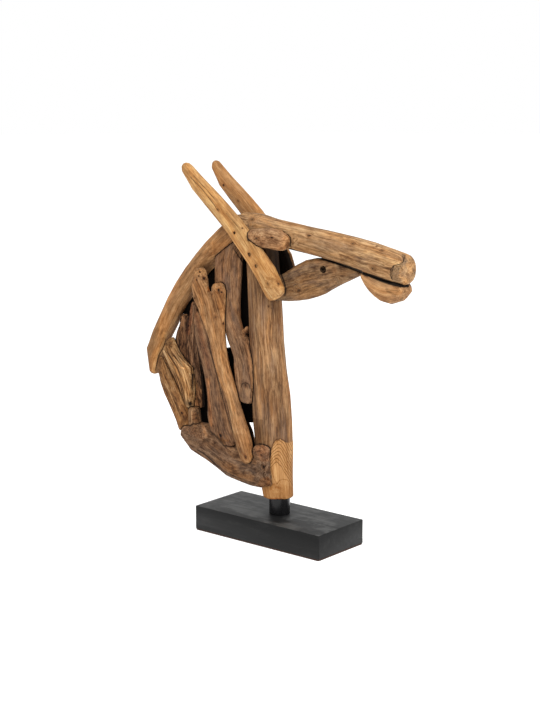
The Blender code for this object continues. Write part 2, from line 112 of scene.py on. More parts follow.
class Look:
    """A material, built node by node. Most methods add a node and give its output."""

    def __init__(self, name):
        self.material = bpy.data.materials.new(name)
        self.material.use_nodes = True
        self.tree = self.material.node_tree
        self.shader = self.tree.nodes["Principled BSDF"]

    def plug(self, node, inputs):
        """Sets or links the inputs of a node."""
        for key, value in inputs.items():
            if isinstance(value, bpy.types.NodeSocket):
                self.tree.links.new(value, node.inputs[key])
            else:
                node.inputs[key].default_value = value

    def surface(self, colour, roughness, shine, bump=None):
        """Gives the shader its inputs."""
        self.plug(self.shader, {"Base Color": colour, "Roughness": roughness, "Specular IOR Level": shine})
        if bump:
            self.plug(self.shader, {"Normal": bump})
        return self.material

    def add(self, kind, inputs, output=0, **settings):
        made = self.tree.nodes.new("ShaderNode" + kind)
        for key, value in settings.items():
            setattr(made, key, value)
        self.plug(made, inputs)
        return made.outputs[output]

    def stored(self, name, output="Fac"):
        """What the mesh stores under this name."""
        return self.add("Attribute", {}, output, attribute_name=name)

    def maths(self, operation, *values):
        return self.add("Math", dict(enumerate(values)), operation=operation)

    def times(self, *values):
        return self.maths("MULTIPLY", *values)

    def plus_times(self, total, value, share):
        """total + value * share"""
        return self.maths("MULTIPLY_ADD", value, share, total)

    def vector(self, operation, *values, output=0):
        return self.add("VectorMath", dict(enumerate(values)), output, operation=operation)

    def mix(self, share, low, high, blend="MIX"):
        """Two colours mixed by a share."""
        return self.add("Mix", {0: share, 6: low, 7: high}, 2, data_type="RGBA", blend_type=blend)

    def multiplied(self, colour, tint):
        return self.mix(1.0, colour, tint, blend="MULTIPLY")

    def ramp(self, value, *stops, ease="EASE"):
        """A value turned to greys or colours by stops of (place, colour)."""
        made = self.add("ValToRGB", {0: value})
        band = made.node.color_ramp
        band.interpolation = ease
        while len(band.elements) < len(stops):
            band.elements.new(0.5)
        for element, (place, colour) in zip(band.elements, stops):
            element.position = place
            element.color = colour if isinstance(colour, tuple) else (colour, colour, colour, 1)
        return made

    def bump(self, height, strength, distance):
        """Normals that make a height look raised, its distance in metres."""
        return self.add("Bump", {"Strength": strength, "Distance": distance, "Height": height})

    def stretched(self, grain, scale, seed, detail=4.0, roughness=0.6):
        """Noise stretched along the grain. scale is along, across and into it.

        It is per millimetre on the wood, and per metre on the stand.
        """
        start = (seed * 3.7, seed * 5.1, seed * 2.3)
        mapped = self.add("Mapping", {"Vector": grain, "Location": start, "Scale": scale})
        inputs = {"Vector": mapped, "Scale": 1.0, "Detail": detail, "Roughness": roughness}
        return self.add("TexNoise", inputs)

    def even_noise(self, grain, scale, detail, reach):
        """Noise that moves a place to either side by up to about half of reach."""
        made = self.add("TexNoise", {"Vector": grain, "Scale": scale, "Detail": detail}, "Color")
        return self.vector("MULTIPLY", self.vector("SUBTRACT", made, (0.5, 0.5, 0.5)), reach)

    def wandering(self, grain, seed):
        """The grain's coordinates, swaying gently as it goes along and swirling where it curls."""
        inputs = {"Vector": grain, "Location": (seed * 1.9, 0, 0), "Scale": (0.012, 0.03, 0.03)}
        sway = self.even_noise(self.add("Mapping", inputs), 1.0, 2.0, (0.0, 9.0, 9.0))
        grain = self.vector("ADD", grain, sway)
        swirl = self.even_noise(grain, 0.13, 1.0, (60.0, 44.0, 44.0))
        swirl = self.add("VectorMath", {0: swirl, "Scale": self.stored("curl")}, operation="SCALE")
        return self.vector("ADD", grain, swirl)

    def lines(self, grain, scale, seed, width, where):
        """Thin lines along the grain that come and go."""
        value = self.stretched(grain, scale, seed, detail=3.0, roughness=0.5)
        value = self.maths("ABSOLUTE", self.maths("SUBTRACT", value, 0.5))
        value = self.ramp(value, (0.0, 1.0), (width, 0.0), ease="LINEAR")
        wide = (scale[0] * 2, scale[1] * 0.4, scale[2] * 0.4)
        mask = self.stretched(grain, wide, seed + 0.5, detail=2.0)
        return self.times(value, self.ramp(mask, (where - 0.04, 0.0), (where + 0.06, 1.0)))

    def knotted(self, colour, plain, knots, middle, shade, seed):
        """Adds each knot's rings and dark heart to a colour."""
        for spot, radius in knots:
            gap = self.vector("SUBTRACT", plain, tuple(spot))
            gap = self.vector("MULTIPLY", gap, (0.7 / radius, 1 / radius, 1 / radius))
            rough_edge = self.stretched(plain, (0.3, 0.3, 0.3), seed + 12, detail=2.0)
            away = self.vector("LENGTH", gap, output="Value")
            away = self.plus_times(self.maths("SUBTRACT", away, 0.4), rough_edge, 0.8)
            inside = self.ramp(away, (0.0, 1.0), (0.8, 0.8), (1.1, 0.0))
            rings = self.maths("FRACT", self.times(away, 2.4))
            rings = self.ramp(rings, (0.0, 0.2), (0.6, 0.5), (0.85, 1.0), (1.0, 0.2))
            knot_colour = self.mix(rings, linear(*(value * 0.7 for value in middle)), shade)
            colour = self.mix(self.times(inside, 0.85), colour, knot_colour)
            heart = self.ramp(away, (0.1, 1.0), (0.4, 0.0))
            colour = self.mix(self.times(heart, 0.9), colour, BLACK)
        return colour


def teak(
    name, knots, dark, middle, light, seed, grey=(120, 104, 92), greyness=0.3, ring=4.0, ring_depth=0.3,
    pith=(6.0, 24.0), tilt=0.03, streaks=1.0, mottle=0.2, veins=0.6, cracks=0.5, pores=0.4, roughness=0.75,
    shine=0.1, relief=0.6,
):
    """Weathered teak. Its three colours are those of the photograph, from dark streaks to light ones.

    ring is the width of a year's ring in millimetres, and pith is how far the tree's middle lies
    from the stick's own, across and into it. tilt slants the rings along the stick.
    """
    look = Look(name)
    plain = look.stored("plain_grain", "Vector")
    sanded = look.stored("sanded")
    grain = look.wandering(look.stored("grain", "Vector"), seed)
    shade = tuple(value * 0.5 for value in linear(*dark)[:3]) + (1.0,)

    broad = look.stretched(grain, (0.007, 0.07, 0.07), seed + 1, detail=3.0)
    streak = look.stretched(grain, (0.012, 0.32, 0.32), seed + 2)
    fine = look.stretched(grain, (0.03, 0.78, 0.78), seed + 3, roughness=0.65)
    hair = look.stretched(grain, (0.07, 2.8, 2.8), seed + 4, detail=2.0)
    value = look.times(broad, 0.34)
    for layer, share in ((streak, 0.36), (fine, 0.22), (hair, 0.08)):
        value = look.plus_times(value, layer, share)
    blotch = look.stretched(grain, (0.05, 0.11, 0.11), seed + 13, detail=6.0, roughness=0.72)
    value = look.add("Mix", {0: mottle, 2: value, 3: blotch})
    spread = 0.085 / streaks
    stops = ((0.5 - spread, linear(*dark)), (0.5, linear(*middle)), (0.5 + spread, linear(*light)))
    colour = look.ramp(value, *stops, ease="LINEAR")

    hue = look.stretched(grain, (0.01, 0.045, 0.045), seed + 5, detail=3.0)
    hue = look.ramp(hue, (0.38, (1.06, 0.98, 0.86, 1)), (0.5, (1, 1, 1, 1)), (0.62, (0.95, 1.0, 1.06, 1)))
    colour = look.multiplied(colour, hue)

    # The year's rings, round the middle of the tree
    warp = look.stretched(grain, (0.008, 0.05, 0.05), seed + 6, detail=3.0)
    warp = look.times(look.maths("SUBTRACT", warp, 0.5), 22.0)
    split = look.add("SeparateXYZ", {0: grain}).node.outputs
    across = look.maths("SUBTRACT", split[1], pith[0])
    into = look.maths("ADD", split[2], pith[1])
    reach = look.vector("LENGTH", look.add("CombineXYZ", {0: 0.0, 1: across, 2: into}), output="Value")
    reach = look.plus_times(look.maths("ADD", reach, warp), split[0], tilt)
    year = look.maths("FRACT", look.maths("DIVIDE", reach, ring))
    late = look.ramp(year, (0.0, 0.1), (0.6, 0.25), (0.85, 1.0), (1.0, 0.1))
    colour = look.mix(look.times(late, ring_depth), colour, shade)

    # The part shaved down to golden wood, with the lines that its rings make there
    golden = look.ramp(value, *((place, linear(*tone)) for place, tone in GOLDEN_WOOD))
    jitter = look.stretched(plain, (0.2, 0.2, 0.2), seed + 14, detail=2.0)
    figure = look.maths("FRACT", look.plus_times(look.stored("figure"), jitter, 0.4))
    figure = look.ramp(figure, (0.0, 0.0), (0.55, 0.1), (0.78, 1.0), (0.9, 0.3), (1.0, 0.0))
    golden = look.mix(look.times(figure, 0.95), golden, linear(*GOLDEN_WOOD_RINGS))
    colour = look.mix(sanded, colour, golden)
    rough_part = look.maths("SUBTRACT", 1.0, look.times(sanded, 0.85))

    weather = look.stretched(grain, (0.012, 0.06, 0.06), seed + 7, detail=5.0, roughness=0.65)
    weather = look.times(look.ramp(weather, (0.47, 0.0), (0.64, 1.0)), greyness)
    colour = look.mix(look.times(weather, rough_part), colour, linear(*grey))

    vein = look.lines(grain, (0.006, 0.15, 0.15), seed + 8, 0.045, where=0.47)
    thin_vein = look.lines(grain, (0.009, 0.4, 0.4), seed + 9, 0.05, where=0.5)
    vein = look.times(look.maths("MAXIMUM", vein, look.times(thin_vein, 0.7)), rough_part)
    colour = look.mix(look.times(vein, veins), colour, shade)

    pore = look.stretched(grain, (0.1, 1.2, 1.2), seed + 10, detail=2.0)
    pore = look.times(look.ramp(pore, (0.6, 0.0), (0.68, 1.0)), rough_part)
    colour = look.mix(look.times(pore, pores), colour, shade)
    colour = look.mix(look.times(look.stored("halo"), 0.8), colour, (0.74, 0.6, 0.5, 1), blend="MULTIPLY")

    crack = look.times(look.lines(grain, (0.0045, 0.1, 0.1), seed + 11, 0.011, where=0.53), rough_part)
    colour = look.mix(look.times(crack, cracks), colour, BLACK)
    colour = look.knotted(colour, plain, knots, middle, shade, seed)
    colour = look.multiplied(colour, look.stored("tint", "Vector"))
    # Convex ridges made lighter: a painted highlight along the edges, together with their wear
    edge = look.ramp(look.stored("ridge"), (0.1, 0.0), (0.9, 1.0))
    colour = look.mix(look.times(edge, 0.3), colour, linear(*light))
    # Black where marked dark: holes, grooves and rot, and painted shade in gaps, in deep places and on the
    # far boards' inner sides
    colour = look.mix(look.stored("dark"), colour, BLACK)

    height = look.plus_times(look.times(hair, 0.3), fine, 0.9)
    for layer, share in ((streak, 1.2), (vein, -0.35 * veins), (crack, -1.2 * cracks), (pore, -0.4 * pores)):
        height = look.plus_times(height, layer, share)
    bump = look.bump(look.times(height, rough_part), relief, distance=0.0014)
    return look.surface(colour, look.plus_times(roughness - 0.1, fine, 0.2), shine, bump)


# Camera, light and floor


def make_camera():
    data = bpy.data.cameras.new("camera")
    data.lens = LENS
    data.sensor_width = SENSOR
    camera = placed("camera", data)
    camera.matrix_world = Matrix.Translation(CAMERA_PLACE) @ Matrix((RIGHT, UP, BACK)).transposed().to_4x4()
    bpy.context.scene.camera = camera


def softbox(name, place, size, power):
    light = bpy.data.lights.new(name, "AREA")
    light.shape = "DISK"
    light.size = size
    light.energy = power
    lamp = placed(name, light)
    lamp.rotation_euler = (SCULPTURE_MIDDLE - Vector(place)).to_track_quat("-Z", "Y").to_euler()
    lamp.location = place


def make_studio():
    scene = bpy.context.scene
    scene.view_settings.view_transform = "Standard"
    scene.view_settings.look = "None"
    world = bpy.data.worlds.new("studio")
    world.use_nodes = True
    world.node_tree.nodes["Background"].inputs["Color"].default_value = (1, 1, 1, 1)
    world.node_tree.nodes["Background"].inputs["Strength"].default_value = 1.0
    scene.world = world
    softbox("key", (0.9, -1.6, 2.6), size=1.6, power=75)
    softbox("side", (2.4, 0.4, 1.6), size=1.4, power=28)
    floor_shape = bmesh.new()
    bmesh.ops.create_circle(floor_shape, cap_ends=True, segments=96, radius=14.0)
    mesh = bpy.data.meshes.new("floor")
    floor_shape.to_mesh(mesh)
    floor_shape.free()
    floor = placed("floor", mesh)
    look = Look("pale_floor")
    look.plug(look.shader, {"Emission Color": (1, 1, 1, 1), "Emission Strength": 0.25})
    mesh.materials.append(look.surface((0.9, 0.9, 0.9, 1), roughness=0.9, shine=0.1))


# Places and noise


def sight(u, v):
    """The direction in which the camera sees a spot of the photograph."""
    across = (u - MIDDLE_PIXEL[0]) / FOCUS_PIXELS
    down = (v - MIDDLE_PIXEL[1]) / FOCUS_PIXELS
    return (RIGHT * across - UP * down - BACK).normalized()


def seen_at(points):
    """The spot (u, v) of the photograph at which the camera sees each point."""
    away = points - np.array(CAMERA_PLACE)
    reach = -(away @ np.array(BACK))
    across = MIDDLE_PIXEL[0] + FOCUS_PIXELS * (away @ np.array(RIGHT)) / reach
    down = MIDDLE_PIXEL[1] - FOCUS_PIXELS * (away @ np.array(UP)) / reach
    return np.column_stack((across, down))


def noise(places, seed):
    """Smooth noise between about -1 and 1 at each place. The long numbers only mix the bits of its cells."""
    cell = np.floor(places).astype(np.int64)
    part = places - cell
    fade = part**3 * (part * (part * 6 - 15) + 10)
    total = np.zeros(len(places))
    for corner in itertools.product((0, 1), repeat=3):
        spot = cell + corner
        mixed = spot[:, 0] * 374761393 + spot[:, 1] * 668265263 + spot[:, 2] * 1274126177
        mixed = (mixed + seed * 97531) & 0xFFFFFFFF
        mixed = ((mixed ^ (mixed >> 13)) * 1103515245) & 0xFFFFFFFF
        mixed ^= mixed >> 15
        slope = np.stack([(mixed >> shift & 1023) / 511.5 - 1 for shift in (0, 10, 20)], 1)
        weight = np.where(corner, fade, 1 - fade).prod(1)
        total += weight * (slope * (part - corner)).sum(1)
    gain = 1.3
    return total * gain


def step(low, high, value):
    """From 0 at low to 1 at high, smoothly."""
    share = np.clip((value - low) / (high - low), 0, 1)
    return share * share * (3 - 2 * share)


def along_grain(points):
    """Each point's place along, across and into its stick, in millimetres from its middle line."""
    flat = points[:, [0, 2]]
    centre = flat.mean(0)
    way = np.linalg.svd(flat - centre, full_matrices=False)[2][0]
    if way[1] > 0:
        way = -way
    side = np.array((way[1], -way[0]))
    reach = (flat - centre) @ way
    across = (flat - centre) @ side
    count, smoothings = 26, 6
    stations = np.linspace(reach.min(), reach.max(), count)
    middles = []
    for station in stations:
        near = np.abs(reach - station) < (stations[1] - stations[0])
        middles.append([(row.min() + row.max()) / 2 for row in (across[near], points[near, 1])])
    middles = np.array(middles)
    for _ in range(smoothings):
        middles[1:-1] = (middles[:-2] + 2 * middles[1:-1] + middles[2:]) / 4
    bend, depth = (np.interp(reach, stations, column) for column in middles.T)
    return np.column_stack((reach, across - bend, points[:, 1] - depth)) / MM


def to_polyline(places, line):
    """Distance of each place to a line through points, and how far along it is, from 0 to 1."""
    best = np.full(len(places), 1e9)
    share = np.zeros(len(places))
    for k, (a, b) in enumerate(zip(line, line[1:])):
        span = b - a
        along = np.clip((places - a) @ span / max(span @ span, 1e-12), 0, 1)
        gap = np.linalg.norm(places - a - along[:, None] * span, axis=1)
        nearer = gap < best
        best[nearer] = gap[nearer]
        share[nearer] = (k + along[nearer]) / (len(line) - 1)
    return best, share


def inside_outline(spots, outline):
    """How far each spot lies inside a closed outline, and minus how far where it is outside."""
    corners = np.array(outline, float)
    edge = to_polyline(spots, [*corners, corners[0]])[0]
    inside = np.zeros(len(spots), bool)
    for (u0, v0), (u1, v1) in zip(corners, np.roll(corners, -1, axis=0)):
        if v0 != v1:
            crossed = (spots[:, 1] < v0) != (spots[:, 1] < v1)
            inside ^= crossed & (spots[:, 0] < u0 + (spots[:, 1] - v0) * (u1 - u0) / (v1 - v0))
    return np.where(inside, edge, -edge)


# The wood's surface


def merged_copy(name):
    """A copy of a CAD node's mesh, as an object, with its loose triangles joined."""
    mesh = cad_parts[name].data.copy()
    mesh.materials.clear()
    shape = bmesh.new()
    shape.from_mesh(mesh)
    bmesh.ops.remove_doubles(shape, verts=shape.verts, dist=1e-6)
    shape.to_mesh(mesh)
    shape.free()
    return placed(name + "_wood", mesh)


def numbers(items, key, width, kind=float):
    """One value of each of a mesh's points or edges, as rows."""
    values = np.empty(len(items) * width, kind)
    items.foreach_get(key, values)
    return values.reshape(-1, width)


# Marks on the wood. Their lengths are in millimetres, but in pixels for Seam and Shaving. A line or
# an outline goes from spot to spot of the photograph
Knot = namedtuple("Knot", "u v radius")
Curl = namedtuple("Curl", "u v radius")
Pit = namedtuple("Pit", "u v radius depth")
Groove = namedtuple("Groove", "line width depth")
Stroke = namedtuple("Stroke", "line width colour")
Eye = namedtuple("Eye", "u v radius")
Patch = namedtuple("Patch", "outline colour")
Gloom = namedtuple("Gloom", "outline darkness")
Seam = namedtuple("Seam", "line width")
Shaving = namedtuple("Shaving", "outline peak row spacing")


class Skin:
    """The surface of one stick while it is worn and marked.

    Its points are in metres, and what is measured along the grain or cut is in millimetres.
    """

    # Shares of the way to its neighbours' mean that a point is moved: in and out again, and at the end
    INWARDS, OUTWARDS, LAST = 0.5, 0.52, 0.6

    # A point counts as facing the camera until it is turned a little away from it
    TURNED_AWAY = -0.1

    def __init__(self, name, voxel, smooth):
        self.piece = merged_copy(name)
        self.cad_points = numbers(self.piece.data.vertices, "co", 3)
        faces = [tuple(f.vertices) for f in self.piece.data.polygons]
        self.tree = BVHTree.FromPolygons([tuple(p) for p in self.cad_points], faces)
        self.remesh(voxel)
        mesh = self.piece.data
        points = numbers(mesh.vertices, "co", 3)
        self.edges = numbers(mesh.edges, "vertices", 2, np.int32)
        self.counts = np.bincount(self.edges.ravel(), minlength=len(points)).astype(float)
        self.start = points.copy()
        for _ in range(smooth):
            points += self.INWARDS * (self.mean(points) - points)
            points -= self.OUTWARDS * (self.mean(points) - points)
        points += self.LAST * (self.mean(points) - points)
        self.points = points
        mesh.vertices.foreach_set("co", points.ravel())
        mesh.update()
        self.normals = numbers(mesh.vertex_normals, "vector", 3)
        lost = ((self.start - points) * self.normals).sum(1)[:, None] / MM
        for _ in range(3):
            lost = self.mean(lost)
        self.ridge = lost[:, 0]
        self.grain = along_grain(points)
        self.seen = seen_at(points)
        self.facing = self.normals @ np.array(BACK) > self.TURNED_AWAY
        self.sway, self.cut, self.dark, self.halo, self.sanded, self.figure, self.curly = np.zeros(
            (7, len(points))
        )
        self.tint = np.ones((len(points), 3))
        self.knots = []

    def remesh(self, voxel):
        """Makes the piece's mesh even and fine."""
        modifier = self.piece.modifiers.new("Remesh", "REMESH")
        modifier.mode = "VOXEL"
        modifier.voxel_size = voxel * MM
        graph = bpy.context.evaluated_depsgraph_get()
        mesh = bpy.data.meshes.new_from_object(self.piece.evaluated_get(graph))
        self.piece.modifiers.clear()
        self.piece.data = mesh

    def mean(self, values):
        """The mean of each point's neighbours."""
        total = np.zeros_like(values)
        for k in range(values.shape[1]):
            total[:, k] = np.bincount(self.edges[:, 0], values[self.edges[:, 1], k], len(values))
            total[:, k] += np.bincount(self.edges[:, 1], values[self.edges[:, 0], k], len(values))
        return total / self.counts[:, None]

    def noise(self, scale, seed):
        """Smooth noise along the grain, its scale per millimetre."""
        return noise(self.grain * scale, seed)

    def spot(self, u, v):
        """The point of the piece that shows at a spot of the photograph, or comes nearest to it."""
        way = sight(u, v)
        hit = self.tree.ray_cast(CAMERA_PLACE, way)[0]
        if hit is not None:
            return np.array(hit)
        offset = self.cad_points - np.array(CAMERA_PLACE)
        along = offset @ np.array(way)
        miss = np.linalg.norm(offset - along[:, None] * np.array(way), axis=1)
        prefer_nearer = 0.02
        return self.cad_points[np.argmin(miss + along * prefer_nearer)]

    def grain_at(self, u, v):
        """The place along, across and into the stick that shows at a spot of the photograph."""
        return self.grain[np.argmin(np.linalg.norm(self.points - self.spot(u, v), axis=1))]

    def to_line(self, line):
        """Each point's distance to a line over the piece, and how far along the line it is."""
        reach, share = to_polyline(self.points, [self.spot(u, v) for u, v in line])
        return reach / MM, share

    def cover(self, outline, ragged):
        """1 inside an outline of the photograph and 0 outside, with a ragged edge."""
        inside = inside_outline(self.seen, outline) + ragged * self.noise((0.1, 0.35, 0.35), 41)
        return step(-0.5, 0.5, inside) * self.facing

    def darken(self, share):
        self.dark = np.maximum(self.dark, share)

    def ring_round(self, share):
        self.halo = np.maximum(self.halo, share)

    def colour(self, share, colour):
        self.tint *= 1 + share[:, None] * (np.array(colour) - 1)

    def knot(self, u, v, radius):
        """The grain runs round a knot, which stands a little proud inside a shallow ring."""
        middle = self.grain_at(u, v)
        gap = self.grain - middle
        spread, deepest = 2.6 * radius, 16
        pull = np.exp(-((gap[:, 0] / spread) ** 2) - (gap[:, 1] / spread) ** 2)
        self.sway += np.sign(gap[:, 1]) * radius * pull * (np.abs(gap[:, 2]) < deepest)
        reach = np.linalg.norm(gap / (1.4, 1.0, 1.0), axis=1) / radius
        ring_at, ring_width, ring_depth = 0.95, 0.22, 0.4
        self.cut += ring_depth * np.exp(-((reach - ring_at) / ring_width) ** 2)
        brownness = 0.8
        self.ring_round(brownness * (1 - step(0.9, 2.2, reach)))
        self.knots.append((middle, radius))

    def curl(self, u, v, radius):
        """The grain swirls round here."""
        reach = np.linalg.norm(self.grain - self.grain_at(u, v), axis=1) / radius
        curly = 1 - step(0.35, 1.0, reach)
        bumps = noise(self.grain / (4.4, 3.2, 3.2), 51) + 0.5 * noise(self.grain / (2.4, 1.9, 1.9), 52)
        self.curly = np.maximum(self.curly, curly)
        depth = 0.7
        self.cut += depth * curly * (0.4 + bumps).clip(0, None)

    def pit(self, u, v, radius, depth):
        """A worm hole or hollow, black inside a brown ring, a little longer along the grain."""
        gap = (self.grain - self.grain_at(u, v)) / (1.3, 1.0, 0.6)
        reach = np.linalg.norm(gap, axis=1) / radius
        ragged = reach + 0.2 * self.noise(0.9, 21)
        self.cut += depth * (1 - step(0.4, 1.05, reach))
        self.darken(1 - step(0.7, 1.15, ragged))
        self.ring_round(1 - step(1.0, 2.4, ragged))

    def eye(self, u, v, radius):
        """The eye hole is already there. Its inside is painted as shade: its rim and its core black, with
        brown between.
        """
        brownness, depth, radii_deep = 0.42, 1.2, 1.2
        gap = (self.points - self.spot(u, v)) / (radius * MM)
        reach = np.linalg.norm(gap, axis=1)
        inside = (1 - step(0.94, 1.06, reach)) * (np.abs(gap[:, 0]) < radii_deep)
        ring = step(0.3, 0.42, reach) * (1 - step(0.6, 0.74, reach))
        self.darken(inside * (1 - brownness * ring))
        self.cut += depth * inside

    def groove(self, line, width, depth):
        """A dark groove that runs out at both ends."""
        reach, share = self.to_line(line)
        fade = step(0, 0.12, share) * (1 - step(0.88, 1, share))
        shape = (1 - step(0.25, 1.0, reach / width)) * fade * self.facing
        self.cut += depth * shape
        darkness = 0.85
        self.darken(darkness * shape)

    def stroke(self, line, width, colour):
        """A stroke of colour with a ragged edge, which multiplies the wood's own."""
        ragged = 1 + 0.5 * self.noise((0.03, 0.3, 0.3), 5) + 0.35 * self.noise((0.12, 0.9, 0.9), 9)
        reach = self.to_line(line)[0] / width * ragged
        self.colour((1 - step(0.55, 1.1, reach)) * self.facing, colour)

    def patch(self, outline, colour):
        """A colour inside an outline, which multiplies the wood's own."""
        self.colour(self.cover(outline, 1.4), colour)

    def gloom(self, outline, darkness):
        """The wood lies deep in the dark here."""
        self.darken(darkness * self.cover(outline, 0.4))

    def seam(self, line, width):
        """A black line: painted shade in the gap between two pieces, and also the dark of a crack or of an
        edge.
        """
        reach, share = to_polyline(self.seen, [np.array(spot) for spot in line])
        ragged = reach * (1 + 0.35 * self.noise((0.15, 0.4, 0.4), 43))
        taper = step(0, 0.08, share) * (1 - step(0.92, 1, share))
        self.darken((1 - step(0.2 * width, 0.6 * width, ragged)) * taper * self.facing)

    def shaving(self, outline, peak, row, spacing):
        """Shaved smooth to fresh golden wood. Its rings show as nested peaks, the lowest at peak and row."""
        self.sanded = self.cover(outline, 1.0)
        u, v = self.seen.T
        lean, steepness, bluntness = 0.13, 1.75, 3.6
        aside = u - peak - lean * np.clip(row - v, 0, None)
        fall = steepness * (np.hypot(aside, bluntness) - bluntness)
        waver = 0.3 * noise(self.grain / (16, 7, 7), 61)
        self.figure = np.minimum((v - fall - row) / spacing + waver, 0)

    def furrow(self, furrow, furrow_width, dents):
        """Furrows along the grain, and broad dents."""
        grain = self.winding()
        calm = 1 - 0.85 * self.sanded
        coarse = noise(grain * (0.045 / furrow_width, 1 / furrow_width, 1 / furrow_width), 1)
        fine = noise(grain * (1 / 40, 2.2 / furrow_width, 2.2 / furrow_width), 2)
        broad = noise(self.grain / (60, 22, 22), 3)
        self.cut += calm * furrow * (0.45 + 0.45 * coarse + 0.3 * fine).clip(0, None)
        self.cut += calm * dents * (0.5 + 0.5 * broad).clip(0, None)

    def rot(self, depth, size):
        """Deep pits, eaten along the grain."""
        grain = self.winding()
        holes = noise(grain / (size * 4.5, size, size), 11)
        cells = noise(grain / (size * 1.8, size * 0.4, size * 0.4), 12)
        eaten = step(0.05, 0.65, holes + 0.6 * cells)
        self.cut += depth * eaten
        darkness, falloff = 0.6, 1.5
        self.darken(darkness * eaten**falloff)

    def crevices(self, others, dirt):
        """Painted shade where another stick lies close: black nearest to it and faint a little further out.
        Past far, in metres, none is looked for.
        """
        far, faint = 0.006, 0.28
        near = np.array([others.find_nearest(Vector(p), far)[3] or far for p in self.start]) / MM
        ragged = near * (1.1 + 0.6 * self.noise((0.1, 0.4, 0.4), 17))
        dirt = dirt * (1 - 0.75 * self.sanded)
        self.darken(dirt * (1 - step(0.6, 1.7, ragged)))
        self.darken(faint * dirt * (1 - step(1.0, 4.5, ragged)))

    def blacken_inside(self):
        """The side turned to the near sticks is painted black as shade, in the dark behind them."""
        self.darken(step(-0.15, 0.2, -self.normals[:, 1]))

    def winding(self):
        """The grain's coordinates, bent round the knots."""
        return self.grain + np.column_stack((self.sway * 0, -self.sway, self.sway * 0))

    def write(self):
        """Moves the surface and stores what the material reads. Most of the mean depth cut is given back."""
        share, deepest = 0.9, 1.0
        given = share * min(self.cut.mean(), deepest)
        points = self.points + self.normals * ((given - self.cut) * MM)[:, None]
        points = np.clip(points, *(np.array(corner) for corner in cad_box))
        mesh = self.piece.data
        mesh.vertices.foreach_set("co", points.ravel())
        stored = {
            "grain": self.winding(),
            "plain_grain": self.grain,
            "tint": self.tint,
            "dark": self.dark,
            "halo": self.halo,
            "sanded": self.sanded,
            "figure": self.figure,
            "curl": self.curly,
            "ridge": self.ridge,
        }
        for attribute, values in stored.items():
            kind, key = ("FLOAT", "value") if values.ndim == 1 else ("FLOAT_VECTOR", "vector")
            mesh.attributes.new(attribute, kind, "POINT").data.foreach_set(key, values.ravel())
        mesh.update()
        mesh.shade_smooth()


def tree_of_others(name):
    """All the sticks but one, to find where they lie close to it."""
    points, faces = [], []
    for other, cad_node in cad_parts.items():
        if other == name:
            continue
        base = len(points)
        points += [tuple(v.co) for v in cad_node.data.vertices]
        faces += [tuple(base + i for i in f.vertices) for f in cad_node.data.polygons]
    return BVHTree.FromPolygons(points, faces)


def wear(
    name, marks, furrow, dents, voxel=1.5, smooth=24, furrow_width=3.0, rot=None, dirt=0.96,
    inside_dark=False,
):
    """The piece that stands for a CAD node: its facets worn round, furrowed along its grain."""
    skin = Skin(name, voxel, smooth)
    for mark in marks:
        kind_of_mark = type(mark).__name__.lower()
        getattr(skin, kind_of_mark)(*mark)
    skin.furrow(furrow, furrow_width, dents)
    if rot:
        skin.rot(*rot)
    # Painted shade, black, on a far board's inner side
    if inside_dark:
        skin.blacken_inside()
    # Painted shade where the other sticks lie close
    skin.crevices(tree_of_others(name), dirt)
    skin.write()
    return skin.piece, skin.knots


def dress_stick(name, slot, worn, wood, **marks):
    """One stick: how it is worn, its teak, and the marks that it shows."""
    piece, knots = wear(name, marks.values(), **worn)
    piece.data.materials.append(teak(slot + "_look", knots, **wood))
    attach(piece, "root")
    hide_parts(name)


def dress_far_board(name, voxel, furrow, **wood):
    """A plainer board of the far side, with painted shade, black, on the side turned to the near sticks."""
    worn = dict(voxel=voxel, furrow=furrow, dents=1.0, inside_dark=True)
    dress_stick(name, name + "_teak", worn, dict(shine=0.03, **wood))


# The stand


def smooth_but_for_edges(mesh, degrees):
    mesh.shade_smooth()
    mesh.set_sharp_from_angle(angle=math.radians(degrees))


def paint_stand():
    """The block, black, its top lighter in smudges, as dust and as painted sheen, with a painted dark
    reflection and shadow round the foot of the tube.
    """
    plinth = merged_copy("plinth")
    plinth.name = "painted_block"
    look = Look("black_paint_look")
    place = look.add("TexCoord", {}, "Object")
    brushed = look.stretched(place, (6, 160, 160), 2, detail=5.0)
    scuffed = look.stretched(place, (14, 60, 60), 5, detail=8.0, roughness=0.7)
    scuffs = look.ramp(scuffed, (0.5, 0.0), (0.75, 1.0))
    colour = look.mix(scuffs, (0.002, 0.002, 0.002, 1), (0.012, 0.012, 0.0115, 1))
    colour = look.mix(look.times(brushed, 0.3), colour, (0.004, 0.004, 0.004, 1))
    smudged = look.stretched(place, (22, 34, 34), 9, detail=7.0, roughness=0.62)
    smudges = look.ramp(smudged, (0.42, 0.0), (0.62, 1.0))
    # The top: lighter in smudges, as dust and as painted sheen
    dusty = look.mix(smudges, (0.004, 0.004, 0.004, 1), (0.042, 0.042, 0.0405, 1))
    dusty = look.mix(look.times(brushed, 0.4), dusty, (0.012, 0.012, 0.0118, 1))
    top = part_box("plinth")[1].z
    tube_middle = (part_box("tube")[0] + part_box("tube")[1]) / 2
    from_tube = look.vector("DISTANCE", place, (tube_middle.x, tube_middle.y, top), output="Value")
    # Painted dark reflection and shadow round the foot of the tube
    dusty = look.mix(look.ramp(from_tube, (0.022, 0.9), (0.05, 0.0)), dusty, (0.003, 0.003, 0.003, 1))
    height = look.add("SeparateXYZ", {0: place}, 2)
    colour = look.mix(look.maths("GREATER_THAN", height, top - 0.0004), colour, dusty)
    roughness = look.plus_times(0.36, brushed, 0.25)
    bump = look.bump(brushed, strength=0.25, distance=0.0005)
    plinth.data.materials.append(look.surface(colour, roughness, shine=0.2, bump=bump))
    smooth_but_for_edges(plinth.data, degrees=35)
    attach(plinth, "root")
    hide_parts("plinth")


